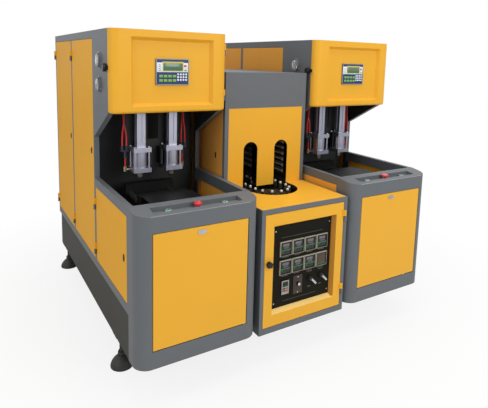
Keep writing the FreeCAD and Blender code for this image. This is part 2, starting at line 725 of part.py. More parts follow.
def front_panel():
    """A tilting panel with a rolled edge, an oval lock and two pins at the bottom."""
    x0, x1, z0, z1 = PANEL
    outer = box(x0, x1, 0, PANEL_T, z0, z1)
    outer = rounded(outer, PANEL_EDGE_R, lambda e: e.BoundBox.YMax < 1e-6)
    fold = DOOR_FOLD
    t = DOOR_SHEET
    deep = box(x0 + t, x1 - t, t, PANEL_T - t, z0 + t, z1 - t)
    mouth = box(x0 + fold, x1 - fold, t, PANEL_T, z0 + fold, z1 - fold)
    y, z = panel_axis()
    pin_out = PANEL_GAP + PANEL_EAR - 1
    pins = [rod_x(x0 - pin_out, x0 + t, y, z, PANEL_PIN_R), rod_x(x1 - t, x1 + pin_out, y, z, PANEL_PIN_R)]
    lx, lz, wide, high = PANEL_LOCK
    lock = oval_lock(lx, lz, wide, high)
    lock.rotate(V(0, 0, 0), V(0, 0, 1), 90)
    lock = lock.mirror(V(0, 0, 0), V(1, 0, 0))
    return joined([outer.cut([deep, mouth]), lock] + pins)


def start_button():
    """A flat round push button with its plunger."""
    top = TROUGH_FLOOR + BEZEL_H + START_TRAVEL + 1.0
    return rod_z(0, BUTTON_Y, TROUGH_FLOOR - 24.0, top, START_R)


def stop_button():
    """A mushroom head on a stem."""
    z = TROUGH_FLOOR + BEZEL_H
    r = STOP_CAP_R
    wide = z + STOP_LIFT
    head = [(0, z - 28), (STOP_STEM_R, z - 28), (STOP_STEM_R, z + STOP_TRAVEL + 1), (r - 4, wide - 3),
            (r, wide), (r, wide + 7), (r - 5, wide + 12), (0, wide + 13)]
    return revolved(head, 0, BUTTON_Y)


def housings():
    for unit, name in enumerate(UNIT_NAMES):
        keep(f"{name}_front_housing", in_unit(front_housing(), unit))
        keep(f"{name}_front_panel", in_unit(front_panel(), unit))
        keep(f"{name}_emergency_stop", in_unit(stop_button().translated(V(STOP_X, 0, 0)), unit))
        for x, side in zip(START_XS, "ab"):
            keep(f"{name}_start_button_{side}", in_unit(start_button().translated(V(x, 0, 0)), unit))


# Hoods

def hood_hinge(z, moving):
    """Hinge half at the right rear edge of the hood, turned from the door pattern."""
    half = hinge_upper(-HINGE_R, HOOD_BACK, z, -1) if moving else hinge_lower(-HINGE_R, HOOD_BACK, z, 1)
    return mirrored(half)


def hood():
    """A folded cover with a sunk field, open at the back."""
    back = HOOD_BACK - 0.5
    outer = box(0, UNIT_W, HOOD_FRONT, back, HOOD_BOTTOM, HEIGHT)
    front = HOOD_FRONT + SHEET + 1
    outer = rounded(outer, HOOD_R, lambda e: is_upright(e) and e.BoundBox.YMax < front)
    outer = rounded(outer, HOOD_BOTTOM_R, lambda e: is_bottom_rim(e, HOOD_BOTTOM, back))
    inner = box(SHEET, UNIT_W - SHEET, HOOD_FRONT + SHEET, back, HOOD_BOTTOM + SHEET, HEIGHT - SHEET)
    inner = rounded(inner, HOOD_R - SHEET, lambda e: is_upright(e) and e.BoundBox.YMax < front)
    inner = rounded(inner, HOOD_BOTTOM_R - SHEET, lambda e: is_bottom_rim(e, HOOD_BOTTOM + SHEET, back))
    x0, x1, z0, z1 = HOOD_RECESS
    b = HOOD_BEVEL
    floor = (x0 + b, x1 - b, z0 + b, z1 - b)
    dish = front_taper(HOOD_RECESS, floor, HOOD_FRONT, HOOD_FRONT + HOOD_RECESS_D)
    grown = front_taper((x0 - 2, x1 + 2, z0 - 2, z1 + 2), (x0 + b - 2, x1 - b + 2, z0 + b - 2, z1 - b + 2),
                        HOOD_FRONT, HOOD_FRONT + HOOD_RECESS_D + SHEET)
    tx0, tx1, tz0, tz1 = TERMINAL
    m = TERMINAL_RIM
    window = box(tx0 + m, tx1 - m, HOOD_FRONT, back, tz0 + m, tz1 - m)
    body = joined([outer.cut(inner), grown]).cut([dish, window])
    halves = [hood_hinge(z, True) for z in HOOD_HINGE_ZS]
    return joined([body, hood_knob()] + halves)


def hood_knob():
    """A turn latch on the hood's left side, reaching back over the frame."""
    y = HOOD_BACK + 22.0
    strap = joined([box(-6, 7, HOOD_BACK - 15, HOOD_BACK - 1, KNOB_Z - 9, KNOB_Z + 9),
                    box(-6, -0.5, HOOD_BACK - 1, y, KNOB_Z - 9, KNOB_Z + 9)])
    grip = turned([(0, 0), (KNOB_R - 6, 0), (KNOB_R, 5), (KNOB_R, 15), (KNOB_R - 4, 19), (0, 19)],
                  (-0.5, y, KNOB_Z), (-1, 0, 0))
    return joined([strap, grip])


def terminal():
    """Operator terminal: a front bezel and its body through the hood's cut-out."""
    x0, x1, z0, z1 = TERMINAL
    face = HOOD_FRONT + HOOD_RECESS_D
    m = TERMINAL_RIM + 1.0
    bezel = box(x0, x1, face - TERMINAL_T, face, z0, z1)
    bezel = rounded(bezel, 2.0, lambda e: e.BoundBox.YMax < face - TERMINAL_T + 1e-6)
    body = box(x0 + m, x1 - m, face, face + TERMINAL_BACK, z0 + m, z1 - m)
    return joined([bezel, body])


def hoods():
    for unit, name in enumerate(UNIT_NAMES):
        keep(f"{name}_hood", in_unit(hood(), unit))
        keep(f"{name}_terminal", in_unit(terminal(), unit))


def pressure_gauges():
    """Flanged gauges let into the left face, with their sockets inside."""
    shell = [(0, 0), (GAUGE_R, 0), (GAUGE_R, 3), (GAUGE_DIAL_R + 2, 3), (GAUGE_DIAL_R + 2, GAUGE_PROUD),
             (GAUGE_DIAL_R - 2, GAUGE_PROUD), (GAUGE_DIAL_R - 4, GAUGE_PROUD - 3), (0, GAUGE_PROUD - 3)]
    case_r = GAUGE_DIAL_R - 2 - RUN
    case = [(0, 0), (0, -GAUGE_DEEP), (case_r, -GAUGE_DEEP), (case_r, 0)]
    gauges = []
    for y, z in GAUGE_PLACES:
        front = turned(shell, (0, y, z), (-1, 0, 0))
        back = turned(case[::-1], (0, y, z), (-1, 0, 0))
        socket = rod_x(GAUGE_DEEP, GAUGE_DEEP + GAUGE_SOCKET, y, z, GAUGE_SOCKET_R)
        gauges.append(joined([front, back, socket]))
    keep("pressure_gauges", in_units(gauges))


# Clamp

def tie_places():
    return [(MOULD_X + s * TIE_X, z) for s in (-1, 1) for z in TIE_ZS]


def rear_platen_y():
    return PART_Y + MOULD_HALF


def platen_front_y():
    return PART_Y - MOULD_HALF - PLATEN_T


def mould_bolts(y0, y1):
    """Four tapped holes for one mould half."""
    z = 0.5 * (CLAMP_BOTTOM + CLAMP_TOP)
    return [rod_y(MOULD_X + sx * MOULD_BOLT_X, y0, y1, z + sz * MOULD_BOLT_Z, MOULD_BOLT_R)
            for sx in (-1, 1) for sz in (-1, 1)]


def clamp_frame():
    """Front plate, rear platen and guard on a bed that stands on the cabinet floor."""
    half = 0.5 * CLAMP_W
    back = rear_platen_y()
    plate = box(MOULD_X - half, MOULD_X + half, FRONT_PLATE_Y, FRONT_PLATE_Y + PLATE_T, CLAMP_BOTTOM, CLAMP_TOP)
    platen = box(MOULD_X - half, MOULD_X + half, back, back + REAR_PLATEN_T, CLAMP_BOTTOM, CLAMP_TOP)
    bed_back = back + REAR_PLATEN_T
    side = BED_W / 2
    bed = box(MOULD_X - side, MOULD_X + side, FRONT_PLATE_Y, bed_back, CLAMP_BOTTOM - BED_T, CLAMP_BOTTOM)
    webs = []
    for s in (-1, 1):
        x = MOULD_X + s * 0.4 * BED_W
        webs.append(box(x - BED_WEB / 2, x + BED_WEB / 2, FRONT_PLATE_Y, bed_back, BASE_TOP + SHEET,
                        CLAMP_BOTTOM - BED_T))
    guard = box(MOULD_X - half, MOULD_X + half, FRONT_PLATE_Y + PLATE_T, platen_front_y() - RUN_GAP,
                CLAMP_TOP - GUARD_T, CLAMP_TOP)
    holes = [rod_y(x, FRONT_PLATE_Y, bed_back, z, TIE_R + TIE_FIT) for x, z in tie_places()]
    holes.append(rod_y(MOULD_X, FRONT_PLATE_Y, FRONT_PLATE_Y + PLATE_T, RAM_Z, RAM_R + RUN))
    holes += mould_bolts(back, back + MOULD_BOLT_DEPTH)
    return [plate.cut(holes), platen.cut(holes), bed, guard] + webs


def tie_bars():
    bars = []
    y0 = FRONT_PLATE_Y
    y1 = rear_platen_y() + REAR_PLATEN_T
    for x, z in tie_places():
        bars.append(rod_y(x, y0 - TIE_NUT_T - TIE_END, y1 + TIE_NUT_T + TIE_END, z, TIE_R))
        thread = rod_y(x, y0 - TIE_NUT_T, y1 + TIE_NUT_T, z, TIE_R + TIE_FIT)
        for y in (y0 - TIE_NUT_T, y1):
            bars.append(hex_nut(x, y, z, TIE_NUT_ACROSS, TIE_NUT_T, V(0, 1, 0)).cut(thread))
    return bars


def moving_platen():
    """A deep platen that runs on the tie bars, with its ram."""
    half = 0.5 * CLAMP_W
    y0 = platen_front_y()
    y1 = y0 + PLATEN_T
    bottom = CLAMP_BOTTOM + RUN_GAP
    block = box(MOULD_X - half, MOULD_X + half, y0, y1, bottom, CLAMP_TOP - GUARD_T - RUN_GAP)
    rib = half - PLATEN_RIB
    pocket = box(MOULD_X - rib, MOULD_X + rib, y0, y0 + POCKET_DEEP, bottom, RAM_Z - POCKET_BELOW)
    holes = [rod_y(x, y0, y1, z, TIE_R + RUN) for x, z in tie_places()]
    holes += mould_bolts(y1 - MOULD_BOLT_DEPTH, y1)
    ram = rod_y(MOULD_X, FRONT_PLATE_Y - RAM_INSIDE, y0, RAM_Z, RAM_R)
    return [block.cut([pocket] + holes), ram]


def ram_cylinder():
    """The clamp cylinder's barrel, closed in front and bolted to the front plate."""
    y1 = FRONT_PLATE_Y
    y0 = y1 - RAM_INSIDE - CLAMP_TRAVEL - 1.5 - RAM_END
    barrel = rod_y(MOULD_X, y0, y1, RAM_Z, RAM_BARREL_R).cut(rod_y(MOULD_X, y0 + RAM_END, y1, RAM_Z, RAM_BORE_R))
    flange_half = RAM_BARREL_R + RAM_FLANGE_RIM
    caps = []
    for y in (y0, y1 - RAM_FLANGE_T):
        cap = box(MOULD_X - flange_half, MOULD_X + flange_half, y, y + RAM_FLANGE_T, RAM_Z - flange_half,
                  RAM_Z + flange_half)
        caps.append(cap.cut(rod_y(MOULD_X, y, y + RAM_FLANGE_T, RAM_Z, RAM_BARREL_R - 1)))
    return joined([barrel] + caps)


def clamps():
    keep("clamp_frames", in_units(clamp_frame()))
    keep("clamp_tie_bars", in_units(tie_bars()))
    keep("clamp_cylinders", in_units([ram_cylinder()]))
    for unit, name in enumerate(UNIT_NAMES):
        keep(f"{name}_moving_platen", [in_unit(s, unit) for s in moving_platen()])


# Blowing and stretching

def cavity_xs():
    return [MOULD_X + s * 0.5 * CAVITY_PITCH for s in (-1, 1)]


def nozzle_top():
    """Upper end of a nozzle at rest, far enough up to stay guided when it is down."""
    return BLOCK_BOTTOM + NOZZLE_TRAVEL + NOZZLE_GUIDED


def blow_cylinder(x):
    """Round barrel between square caps, held by four tie rods."""
    h = BLOCK / 2
    cap_zs = (BLOCK_BOTTOM, BLOCK_TOP - CAP_T)
    caps = [box(x - h, x + h, PART_Y - h, PART_Y + h, z, z + CAP_T) for z in cap_zs]
    barrel = rod_z(x, PART_Y, BLOCK_BOTTOM + CAP_T, BLOCK_TOP - CAP_T, BARREL_R)
    rods = [rod_z(x + sx * TIE_ROD_SET, PART_Y + sy * TIE_ROD_SET, BLOCK_BOTTOM + CAP_T, BLOCK_TOP - CAP_T,
                  TIE_ROD_R) for sx in (-1, 1) for sy in (-1, 1)]
    bore = rod_z(x, PART_Y, BLOCK_BOTTOM, nozzle_top() + 4, NOZZLE_R + RUN)
    throat = rod_z(x, PART_Y, BLOCK_BOTTOM, BLOCK_TOP, ROD_R + RUN)
    return joined(caps + [barrel] + rods).cut([bore, throat])


def nozzle(x):
    """A hollow piston rod with a sealing head that comes down on the mould."""
    profile = [(ROD_R + RUN, NOZZLE_TIP), (NOZZLE_HEAD_R - 4, NOZZLE_TIP), (NOZZLE_HEAD_R, NOZZLE_TIP + 10),
               (NOZZLE_HEAD_R, NOZZLE_HEAD_Z), (NOZZLE_R, NOZZLE_HEAD_Z), (NOZZLE_R, nozzle_top()),
               (ROD_R + RUN, nozzle_top())]
    return revolved(profile, x, PART_Y)


def stretch_rod(x):
    profile = [(0, ROD_TIP), (ROD_R - 2, ROD_TIP), (ROD_R, ROD_TIP + 3), (ROD_R, ROD_TOP - ROD_PISTON_T),
               (ROD_PISTON_R, ROD_TOP - ROD_PISTON_T), (ROD_PISTON_R, ROD_TOP), (0, ROD_TOP)]
    return revolved(profile, x, PART_Y)


def stretch_cylinder(x):
    """A grooved square profile: a guide bore for the rod below, the piston's bore above."""
    h = PROFILE_W / 2
    body = box(x - h, x + h, PART_Y - h, PART_Y + h, BLOCK_TOP, PROFILE_TOP)
    guide_top = ROD_TOP - ROD_PISTON_T - ROD_TRAVEL - 1.0
    cuts = [rod_z(x, PART_Y, guide_top, PROFILE_TOP - PROFILE_CAP, PROFILE_BORE_R),
            rod_z(x, PART_Y, BLOCK_TOP, guide_top, ROD_R + RUN)]
    for s in (-1, 1):
        groove_y = sorted((PART_Y + s * h, PART_Y + s * (h - GROOVE_DEEP)))
        groove_x = sorted((x + s * h, x + s * (h - GROOVE_DEEP)))
        groove_z = (BLOCK_TOP + GROOVE_END, PROFILE_TOP - GROOVE_END)
        w = 0.5 * GROOVE_W
        cuts.append(box(x - w, x + w, *groove_y, *groove_z))
        cuts.append(box(*groove_x, PART_Y - w, PART_Y + w, *groove_z))
    return body.cut(cuts)


def cylinder_bracket():
    """The back plate behind the cylinders with two side gussets."""
    y = PART_Y + BLOCK / 2
    half = BACK_PLATE_W / 2
    top = BEAM_ZS[1] + BEAM
    plate = box(MOULD_X - half, MOULD_X + half, y, y + BACK_PLATE_T, BLOCK_BOTTOM, top)
    window = box(MOULD_X - 30, MOULD_X + 30, y, y + BACK_PLATE_T, BLOCK_TOP + 30, BEAM_ZS[0] - 40)
    gussets = []
    for s in (-1, 1):
        x0, x1 = sorted((MOULD_X + s * 24, MOULD_X + s * 30))
        gussets.append(box(x0, x1, PART_Y - 8, y, BLOCK_BOTTOM + 30, BLOCK_TOP - 10))
    return joined([plate.cut(window)] + gussets)


def blowing():
    xs = cavity_xs()
    keep("blow_cylinders", in_units([blow_cylinder(x) for x in xs]))
    keep("stretch_cylinders", in_units([stretch_cylinder(x) for x in xs]))
    keep("cylinder_brackets", in_units([cylinder_bracket()]))
    for unit, name in enumerate(UNIT_NAMES):
        keep(f"{name}_blow_nozzles", [in_unit(nozzle(x), unit) for x in xs])
        keep(f"{name}_stretch_rods", [in_unit(stretch_rod(x), unit) for x in xs])


# Air lines

def tube_path(points):
    """Straight runs joined by tangent arcs, and the arcs' radii."""
    edges = []
    radii = []
    start = points[0]
    for before, corner, after in zip(points, points[1:], points[2:]):
        u = (before - corner).normalize()
        w = (after - corner).normalize()
        half = 0.5 * u.getAngle(w)
        reach = 0.45 * min((before - corner).Length, (after - corner).Length)
        a = corner + u * reach
        b = corner + w * reach
        r = reach * math.tan(half)
        bisector = (u + w).normalize()
        middle = corner + bisector * (r / math.sin(half) - r)
        edges.append(Part.LineSegment(start, a).toShape())
        edges.append(Part.Arc(a, middle, b).toShape())
        radii.append(r)
        start = b
    edges.append(Part.LineSegment(start, points[-1]).toShape())
    return Part.Wire(edges), radii


def hose(points):
    """A round tube along a route, solid because its bore is closed by the fittings."""
    wire, radii = tube_path(points)
    ring = Part.Wire([Part.Circle(points[0], points[1] - points[0], HOSE_R).toShape()])
    tube = wire.makePipeShell([ring], True, False)
    print("hose length", round(wire.Length, 1), "radii", [round(r) for r in radii],
          "volume ratio", round(tube.Volume / (math.pi * HOSE_R ** 2 * wire.Length), 4))
    return tube


def hose_tops(side):
    """Upper ends of one side's pair, one behind the other under the manifold block."""
    x = MOULD_X + side * HOSE_TOP_X
    y = cylinder_beam_y() - HOSE_BLOCK_D + HOSE_FIT_R + 4.0
    z = BEAM_ZS[0] - HOSE_COLLAR - 10.0
    return [V(x, y, z), V(x, y + 2 * HOSE_FIT_R + 2.0, z)]


def hose_lows(side):
    """Lower ends of one side's pair, side by side over the push-in fittings."""
    y = PART_Y + 20.0
    xs = [MOULD_X + side * (HOSE_LOW_X + spread) for spread in (HOSE_SPREAD, 0.0)]
    return [V(x, y, HOSE_LOW_Z) for x in xs]


def hose_routes():
    """The pairs spread into a narrow V on their way down."""
    routes = []
    for side in (-1, 1):
        for top, low in zip(hose_tops(side), hose_lows(side)):
            run = 0.31 * (top.z - low.z)
            routes.append([top, top - V(0, 0, run), low + V(0, 0, run), low])
    return routes


def drop_x(side):
    return MOULD_X + side * (0.5 * CAVITY_PITCH + BLOCK / 2 + DROP_SET)


def short_drops():
    """Straight pieces from the arm's middle fitting to the elbows on the blow cylinders."""
    y = PART_Y + 18.0
    z = BLOCK_TOP - DROP_DOWN
    return [[V(drop_x(side), y, z), V(drop_x(side), y, z - DROP_LEN)] for side in (-1, 1)]


def hose_carriers():
    """Push-in fittings on their arms, and the elbows on the blow cylinders."""
    y_plate = PART_Y + BLOCK / 2
    x_arm = 0.5 * CAVITY_PITCH + BLOCK / 2 + 2.0
    parts = []
    for side, (top, bottom) in zip((-1, 1), short_drops()):
        lows = hose_lows(side)
        arm_z = HOSE_LOW_Z - 22.0
        arm_x = sorted((MOULD_X + side * x_arm, lows[0].x + side * HOSE_FIT_R))
        arm = box(*arm_x, lows[0].y - HOSE_FIT_R, y_plate, arm_z - 8, arm_z)
        push_ins = [rod_z(p.x, p.y, arm_z, p.z, HOSE_FIT_R) for p in lows]
        lower = rod_z(top.x, top.y, top.z, arm_z - 8, HOSE_FIT_R)
        parts.append(joined([arm, lower] + push_ins))
        cap_x = MOULD_X + side * (0.5 * CAVITY_PITCH + BLOCK / 2)
        elbow = rod_z(bottom.x, bottom.y, BLOCK_BOTTOM + 2, bottom.z, ELBOW_R)
        nipple = rod_x(*sorted((cap_x, bottom.x)), bottom.y, BLOCK_BOTTOM + 0.5 * CAP_T, ELBOW_R - 2)
        parts.append(joined([elbow, nipple]))
    return parts


def manifold_blocks():
    """Blocks in front of the lower beam that feed the hose pairs."""
    blocks = []
    y1 = cylinder_beam_y()
    for side in (-1, 1):
        ends = hose_tops(side)
        z = ends[0].z + HOSE_COLLAR
        block = box(ends[0].x - 13, ends[0].x + 13, y1 - HOSE_BLOCK_D, y1, z, z + 30.0)
        collars = [rod_z(p.x, p.y, p.z, z, HOSE_FIT_R) for p in ends]
        blocks.append(joined([block] + collars))
    return blocks


def air_lines():
    hoses = [hose(r) for r in hose_routes() + short_drops()]
    keep("air_hoses", in_units(hoses))
    keep("hose_fittings", in_units(hose_carriers() + manifold_blocks()))


# Heater cabinet and its door

def heater_cabinet():
    """A folded box with a front frame, open below the table for the conveyor drive."""
    half = 0.5 * HEATER_W
    s = SHEET
    outer = box(-half, half, HEATER_FRONT, HEATER_BACK, HEATER_BOTTOM, HEATER_TOP)
    behind = HEATER_FRONT + HEATER_BORDER
    hollow = box(-half + s, half - s, behind, HEATER_BACK - s, HEATER_BOTTOM + s, HEATER_TOP)
    x0, x1, z0, z1 = HEATER_DOOR
    g = HEATER_DOOR_GAP
    rebate = box(x0 - g, x1 + g, HEATER_FRONT, HEATER_FRONT + HEATER_DOOR_T + SEAT, z0 - g, HEATER_TOP)
    mouth = box(x0 + LIP, x1 - LIP, HEATER_FRONT, behind, z0 + LIP, HEATER_TOP - LIP)
    body = outer.cut([hollow, rebate, mouth])
    halves = [heater_hinge(z, False) for z in HEATER_HINGE_ZS]
    return joined([body] + halves + unit_spacers())


def unit_spacers():
    """Bosses between the heater and the units, under the units' inner doors."""
    z = 0.5 * (BASE_TOP + DOOR_BOTTOM)
    half = 0.5 * HEATER_W
    return [rod_x(*sorted((s * half, s * (half + UNIT_GAP))), y, z, SPACER_R)
            for s in (-1, 1) for y in SPACER_YS]


def heater_hinge(z, moving):
    """Small block hinge on the right border, standing in front of the door."""
    x = HEATER_DOOR[1] + HINGE_SET - 2
    half = hinge_upper(-HINGE_R, 0, z, -1) if moving else hinge_lower(-HINGE_R, 0, z, 1)
    half.translate(V(HINGE_R, 0, 0))
    half.rotate(V(0, 0, 0), V(0, 0, 1), 90)
    half = half.mirror(V(0, 0, 0), V(1, 0, 0))
    return half.translated(V(x, HEATER_FRONT - HINGE_R, 0))


def heater_door():
    """A pan with a deep bevelled recess that frames the control plate."""
    x0, x1, z0, z1 = HEATER_DOOR
    y0 = HEATER_FRONT
    y1 = y0 + HEATER_DOOR_T
    t = DOOR_SHEET
    outer = rounded(box(x0, x1, y0, y1, z0, z1), DOOR_SHEET, lambda e: e.BoundBox.YMax < y0 + 1e-6)
    hollow = box(x0 + t, x1 - t, y0 + t, y1, z0 + t, z1 - t)
    rx0, rx1, rz0, rz1 = HEATER_RECESS
    b = HEATER_BEVEL
    floor = (rx0 + b, rx1 - b, rz0 + b, rz1 - b)
    dish = front_taper(HEATER_RECESS, floor, y0, y0 + HEATER_RECESS_D)
    grown = front_taper((rx0 - t, rx1 + t, rz0 - t, rz1 + t),
                        (rx0 + b - t, rx1 - b + t, rz0 + b - t, rz1 - b + t), y0, y0 + HEATER_RECESS_D + t)
    m = 20.0
    window = box(floor[0] + m, floor[1] - m, y0, y0 + HEATER_RECESS_D + t, floor[2] + m, floor[3] - m)
    kx, kz = HEATER_KNOB
    bore = rod_y(kx, y0, y0 + t + 14, kz, 4 + RUN)
    boss = rod_y(kx, y0 + t, y0 + t + 14, kz, 9)
    body = joined([outer.cut(hollow), grown, boss]).cut([dish, window, bore])
    halves = [heater_hinge(z, True) for z in HEATER_HINGE_ZS]
    return joined([body] + halves)


def control_face_y():
    """Front of the control plate."""
    return HEATER_FRONT + HEATER_RECESS_D - CONTROL_T


def control_plate():
    """A plate with cut-outs for the instruments and bores for the knobs."""
    b = HEATER_BEVEL + PLATE_MARGIN
    x0, x1, z0, z1 = HEATER_RECESS
    y = control_face_y()
    plate = box(x0 + b, x1 - b, y, y + CONTROL_T, z0 + b, z1 - b)
    cuts = [box(x - WINDOW_W / 2 - 2, x + WINDOW_W / 2 + 2, y, y + CONTROL_T, z - WINDOW_W / 2 - 2,
                z + WINDOW_W / 2 + 2) for x, z in controller_places()]
    for x, z in SWITCHES + (SPEED_KNOB,):
        cuts.append(rod_y(x, y - 4, y + CONTROL_T, z, SWITCH_SHAFT_R + RUN))
    labels = [KEYPAD, KNOB_PLATE]
    raised = [box(lx0, lx1, y - 4 if label == KEYPAD else y - 1.5, y, lz0, lz1)
              for label in labels for lx0, lx1, lz0, lz1 in (label,)]
    rings = [rod_y(x, y - 2, y, z, SWITCH_R + 2) for x, z in SWITCHES]
    screws = [rod_y(x, y - 2, y, z, 4) for x in (x0 + b + 9, x1 - b - 9) for z in (z0 + b + 9, z1 - b - 9)]
    return joined([plate] + raised + rings + screws).cut(cuts)


def controller_places():
    mx, mz = CONTROLLER_MID
    px, pz = CONTROLLER_PITCH
    return [(mx + (i - 1.5) * px, mz + (j - 0.5) * pz) for j in (0, 1) for i in range(4)]


def temperature_controllers():
    """Panel instruments: a raised frame, a sunk window and a body behind the plate."""
    y = control_face_y()
    front = y - CONTROLLER_PROUD
    bodies = []
    for x, z in controller_places():
        w = CONTROLLER_W / 2
        h = CONTROLLER_H / 2
        frame = box(x - w, x + w, front, y, z - h, z + h)
        frame = rounded(frame, 2.5, lambda e: e.BoundBox.YMax < front + 1e-6)
        window = box(x - w + 6, x + w - 6, front, front + 3, z - h + 6, z + h - 6)
        b = WINDOW_W / 2
        back = box(x - b, x + b, y, y + CONTROLLER_DEEP, z - b, z + b)
        bodies.append(joined([frame.cut(window), back]))
    return bodies


def selector_switch(x, z):
    """A round collar on a shaft with a chrome lever that slants down to the right."""
    y = control_face_y() - 2
    shaft = rod_y(x, y, y + 24, z, SWITCH_SHAFT_R)
    collar = rod_y(x, y - 16, y - SEAT, z, SWITCH_R - 3)
    neck = rod_y(x, y - SEAT, y, z, SWITCH_SHAFT_R)
    lever = box(-5, 40, y - 26, y - 16, -5, 5)
    lever = rounded(lever, 3.0, lambda e: e.BoundBox.XMin > 39.9 and e.Length > 9.9)
    lever.rotate(V(0, 0, 0), V(0, 1, 0), 45)
    return joined([shaft, neck, collar, lever.translated(V(x, 0, z))])


def speed_knob():
    x, z = SPEED_KNOB
    y = control_face_y() - 1.5
    shaft = rod_y(x, y - 3, y + 20, z, SWITCH_SHAFT_R)
    grip = turned([(0, 0), (SPEED_KNOB_R, 0), (SPEED_KNOB_R - 2, 15), (SPEED_KNOB_R - 4, 17), (0, 17)],
                  (x, y - SEAT, z), (0, -1, 0))
    return joined([shaft, grip])


def door_knob():
    """A lobed black knob on a shaft through the door."""
    x, z = HEATER_KNOB
    y = HEATER_FRONT
    hub = rod_y(x, y - 22, y - SEAT, z, HEATER_KNOB_R - 5)
    lobes = []
    for i in range(5):
        a = math.radians(72 * i + 18)
        r = HEATER_KNOB_R - 6
        lobes.append(rod_y(x + r * math.cos(a), y - 22, y - 6, z + r * math.sin(a), 6.0))
    shaft = rod_y(x, y - SEAT, y + 30, z, 4)
    tongue = box(x - 7, x + 7, y + HEATER_BORDER + SEAT, y + HEATER_BORDER + 4, z - 22, z + 6)
    return joined([hub] + lobes + [shaft, tongue])


def heater():
    keep("heater_cabinet", heater_cabinet())
    keep("heater_door", heater_door())
    keep("control_plate", control_plate())
    keep("temperature_controllers", temperature_controllers())
    keep("speed_knob", speed_knob())
    keep("heater_door_knob", door_knob())
    for (x, z), side in zip(SWITCHES, "ab"):
        keep(f"heater_switch_{side}", selector_switch(x, z))


# Conveyor

def conveyor_mid():
    return 0.5 * (CONVEYOR_FRONT + CONVEYOR_BACK)


def conveyor_half():
    return 0.5 * (CONVEYOR_BACK - CONVEYOR_FRONT)


def slot(r, z0, z1):
    return oblong(conveyor_half(), conveyor_mid(), r, z0, z1)


def heater_table():
    """The table plate with turned-down edges and the oblong conveyor slot."""
    half = 0.5 * HEATER_W
    s = SHEET
    plate = box(-half, half, HEATER_FRONT, HEATER_BACK, HEATER_TOP, TABLE_TOP)
    hollow = box(-half + s, half - s, HEATER_FRONT + s, HEATER_BACK - s, HEATER_TOP, TABLE_TOP - s)
    collar = slot(SLOT_R + s, HEATER_TOP, TABLE_TOP - s)
    return joined([plate.cut(hollow), collar]).cut(slot(SLOT_R, HEATER_TOP - 1, TABLE_TOP + 1))


def loop_places():
    """All mandrels in order round the oblong loop."""
    step = 2.0 * math.pi / SPROCKET_PITCHES
    turn = [math.pi + step * i for i in range(SPROCKET_PITCHES // 2)]
    front = [(SPROCKET_R * math.cos(a), CONVEYOR_FRONT + SPROCKET_R * math.sin(a)) for a in turn]
    right = [(SPROCKET_R, CONVEYOR_FRONT + MANDREL_PITCH * i) for i in range(RUN_PITCHES)]
    back = [(-x, CONVEYOR_FRONT + CONVEYOR_BACK - y) for x, y in front]
    left = [(-SPROCKET_R, CONVEYOR_BACK - MANDREL_PITCH * i) for i in range(RUN_PITCHES)]
    return front + right + back + left


def chain_link(a, b, low):
    """One plate between two mandrels, with a seat round each spindle."""
    (xa, ya), (xb, yb) = a, b
    length = math.hypot(xb - xa, yb - ya)
    z0 = CHAIN_Z if low else CHAIN_Z + CHAIN_T + 0.2
    w = LINK_W / 2
    plate = box(0, length, -0.62 * w, 0.62 * w, z0, z0 + CHAIN_T)
    ends = [rod_z(x, 0, z0, z0 + CHAIN_T, w) for x in (0, length)]
    bores = [rod_z(x, 0, z0, z0 + CHAIN_T, SPINDLE_R + 0.05) for x in (0, length)]
    link = joined([plate] + ends).cut(bores)
    link.rotate(V(0, 0, 0), V(0, 0, 1), math.degrees(math.atan2(yb - ya, xb - xa)))
    return link.translated(V(xa, ya, 0))


def conveyor_chain():
    places = loop_places()
    follow = places[1:] + places[:1]
    return [chain_link(a, b, i % 2 == 0) for i, (a, b) in enumerate(zip(places, follow))]


def mandrel(x, y):
    """A spindle with a collar and a pointed tip that carries one preform."""
    shoulder = SPROCKET_Z + SPROCKET_T + 6
    profile = [(0, CHAIN_Z - 8), (SPINDLE_R, CHAIN_Z - 8), (SPINDLE_R, shoulder), (MANDREL_R, shoulder),
               (MANDREL_R, MANDREL_TIP - MANDREL_PLUG), (MANDREL_PLUG_R, MANDREL_TIP - MANDREL_PLUG),
               (MANDREL_PLUG_R, MANDREL_TIP - 3), (MANDREL_PLUG_R - 3, MANDREL_TIP), (0, MANDREL_TIP)]
    return revolved(profile, x, y)


def sprocket(y):
    """A chain wheel on its shaft, with a stepped hub; its rim bears on the spindles."""
    z0 = SPROCKET_Z + SEAT
    z1 = SPROCKET_Z + SPROCKET_T
    disc = rod_z(0, y, z0, z1, SPROCKET_R - SPINDLE_R - SEAT)
    holes = []
    for i in range(WHEEL_HOLES):
        a = 2.0 * math.pi * i / WHEEL_HOLES
        holes.append(rod_z(WHEEL_HOLE_SET * math.cos(a), y + WHEEL_HOLE_SET * math.sin(a), z0, z1, WHEEL_HOLE_R))
    r = SPROCKET_HUB_R
    neck = r - HUB_STEP
    crown = r - 2 * HUB_STEP
    low = BED_Z - SHAFT_LOW
    step1 = z1 + HUB_HIGH
    step2 = step1 + HUB_HIGH
    top = step2 + SHAFT_END
    hub = [(0, low), (SHAFT_R, low), (SHAFT_R, z0 - HUB_LOW), (neck, z0 - HUB_LOW), (neck, z0), (r, z0),
           (r, step1), (crown, step1), (crown, step2), (SHAFT_R, step2), (SHAFT_R, top), (0, top)]
    return joined([disc.cut(holes), revolved(hub, 0, y)])


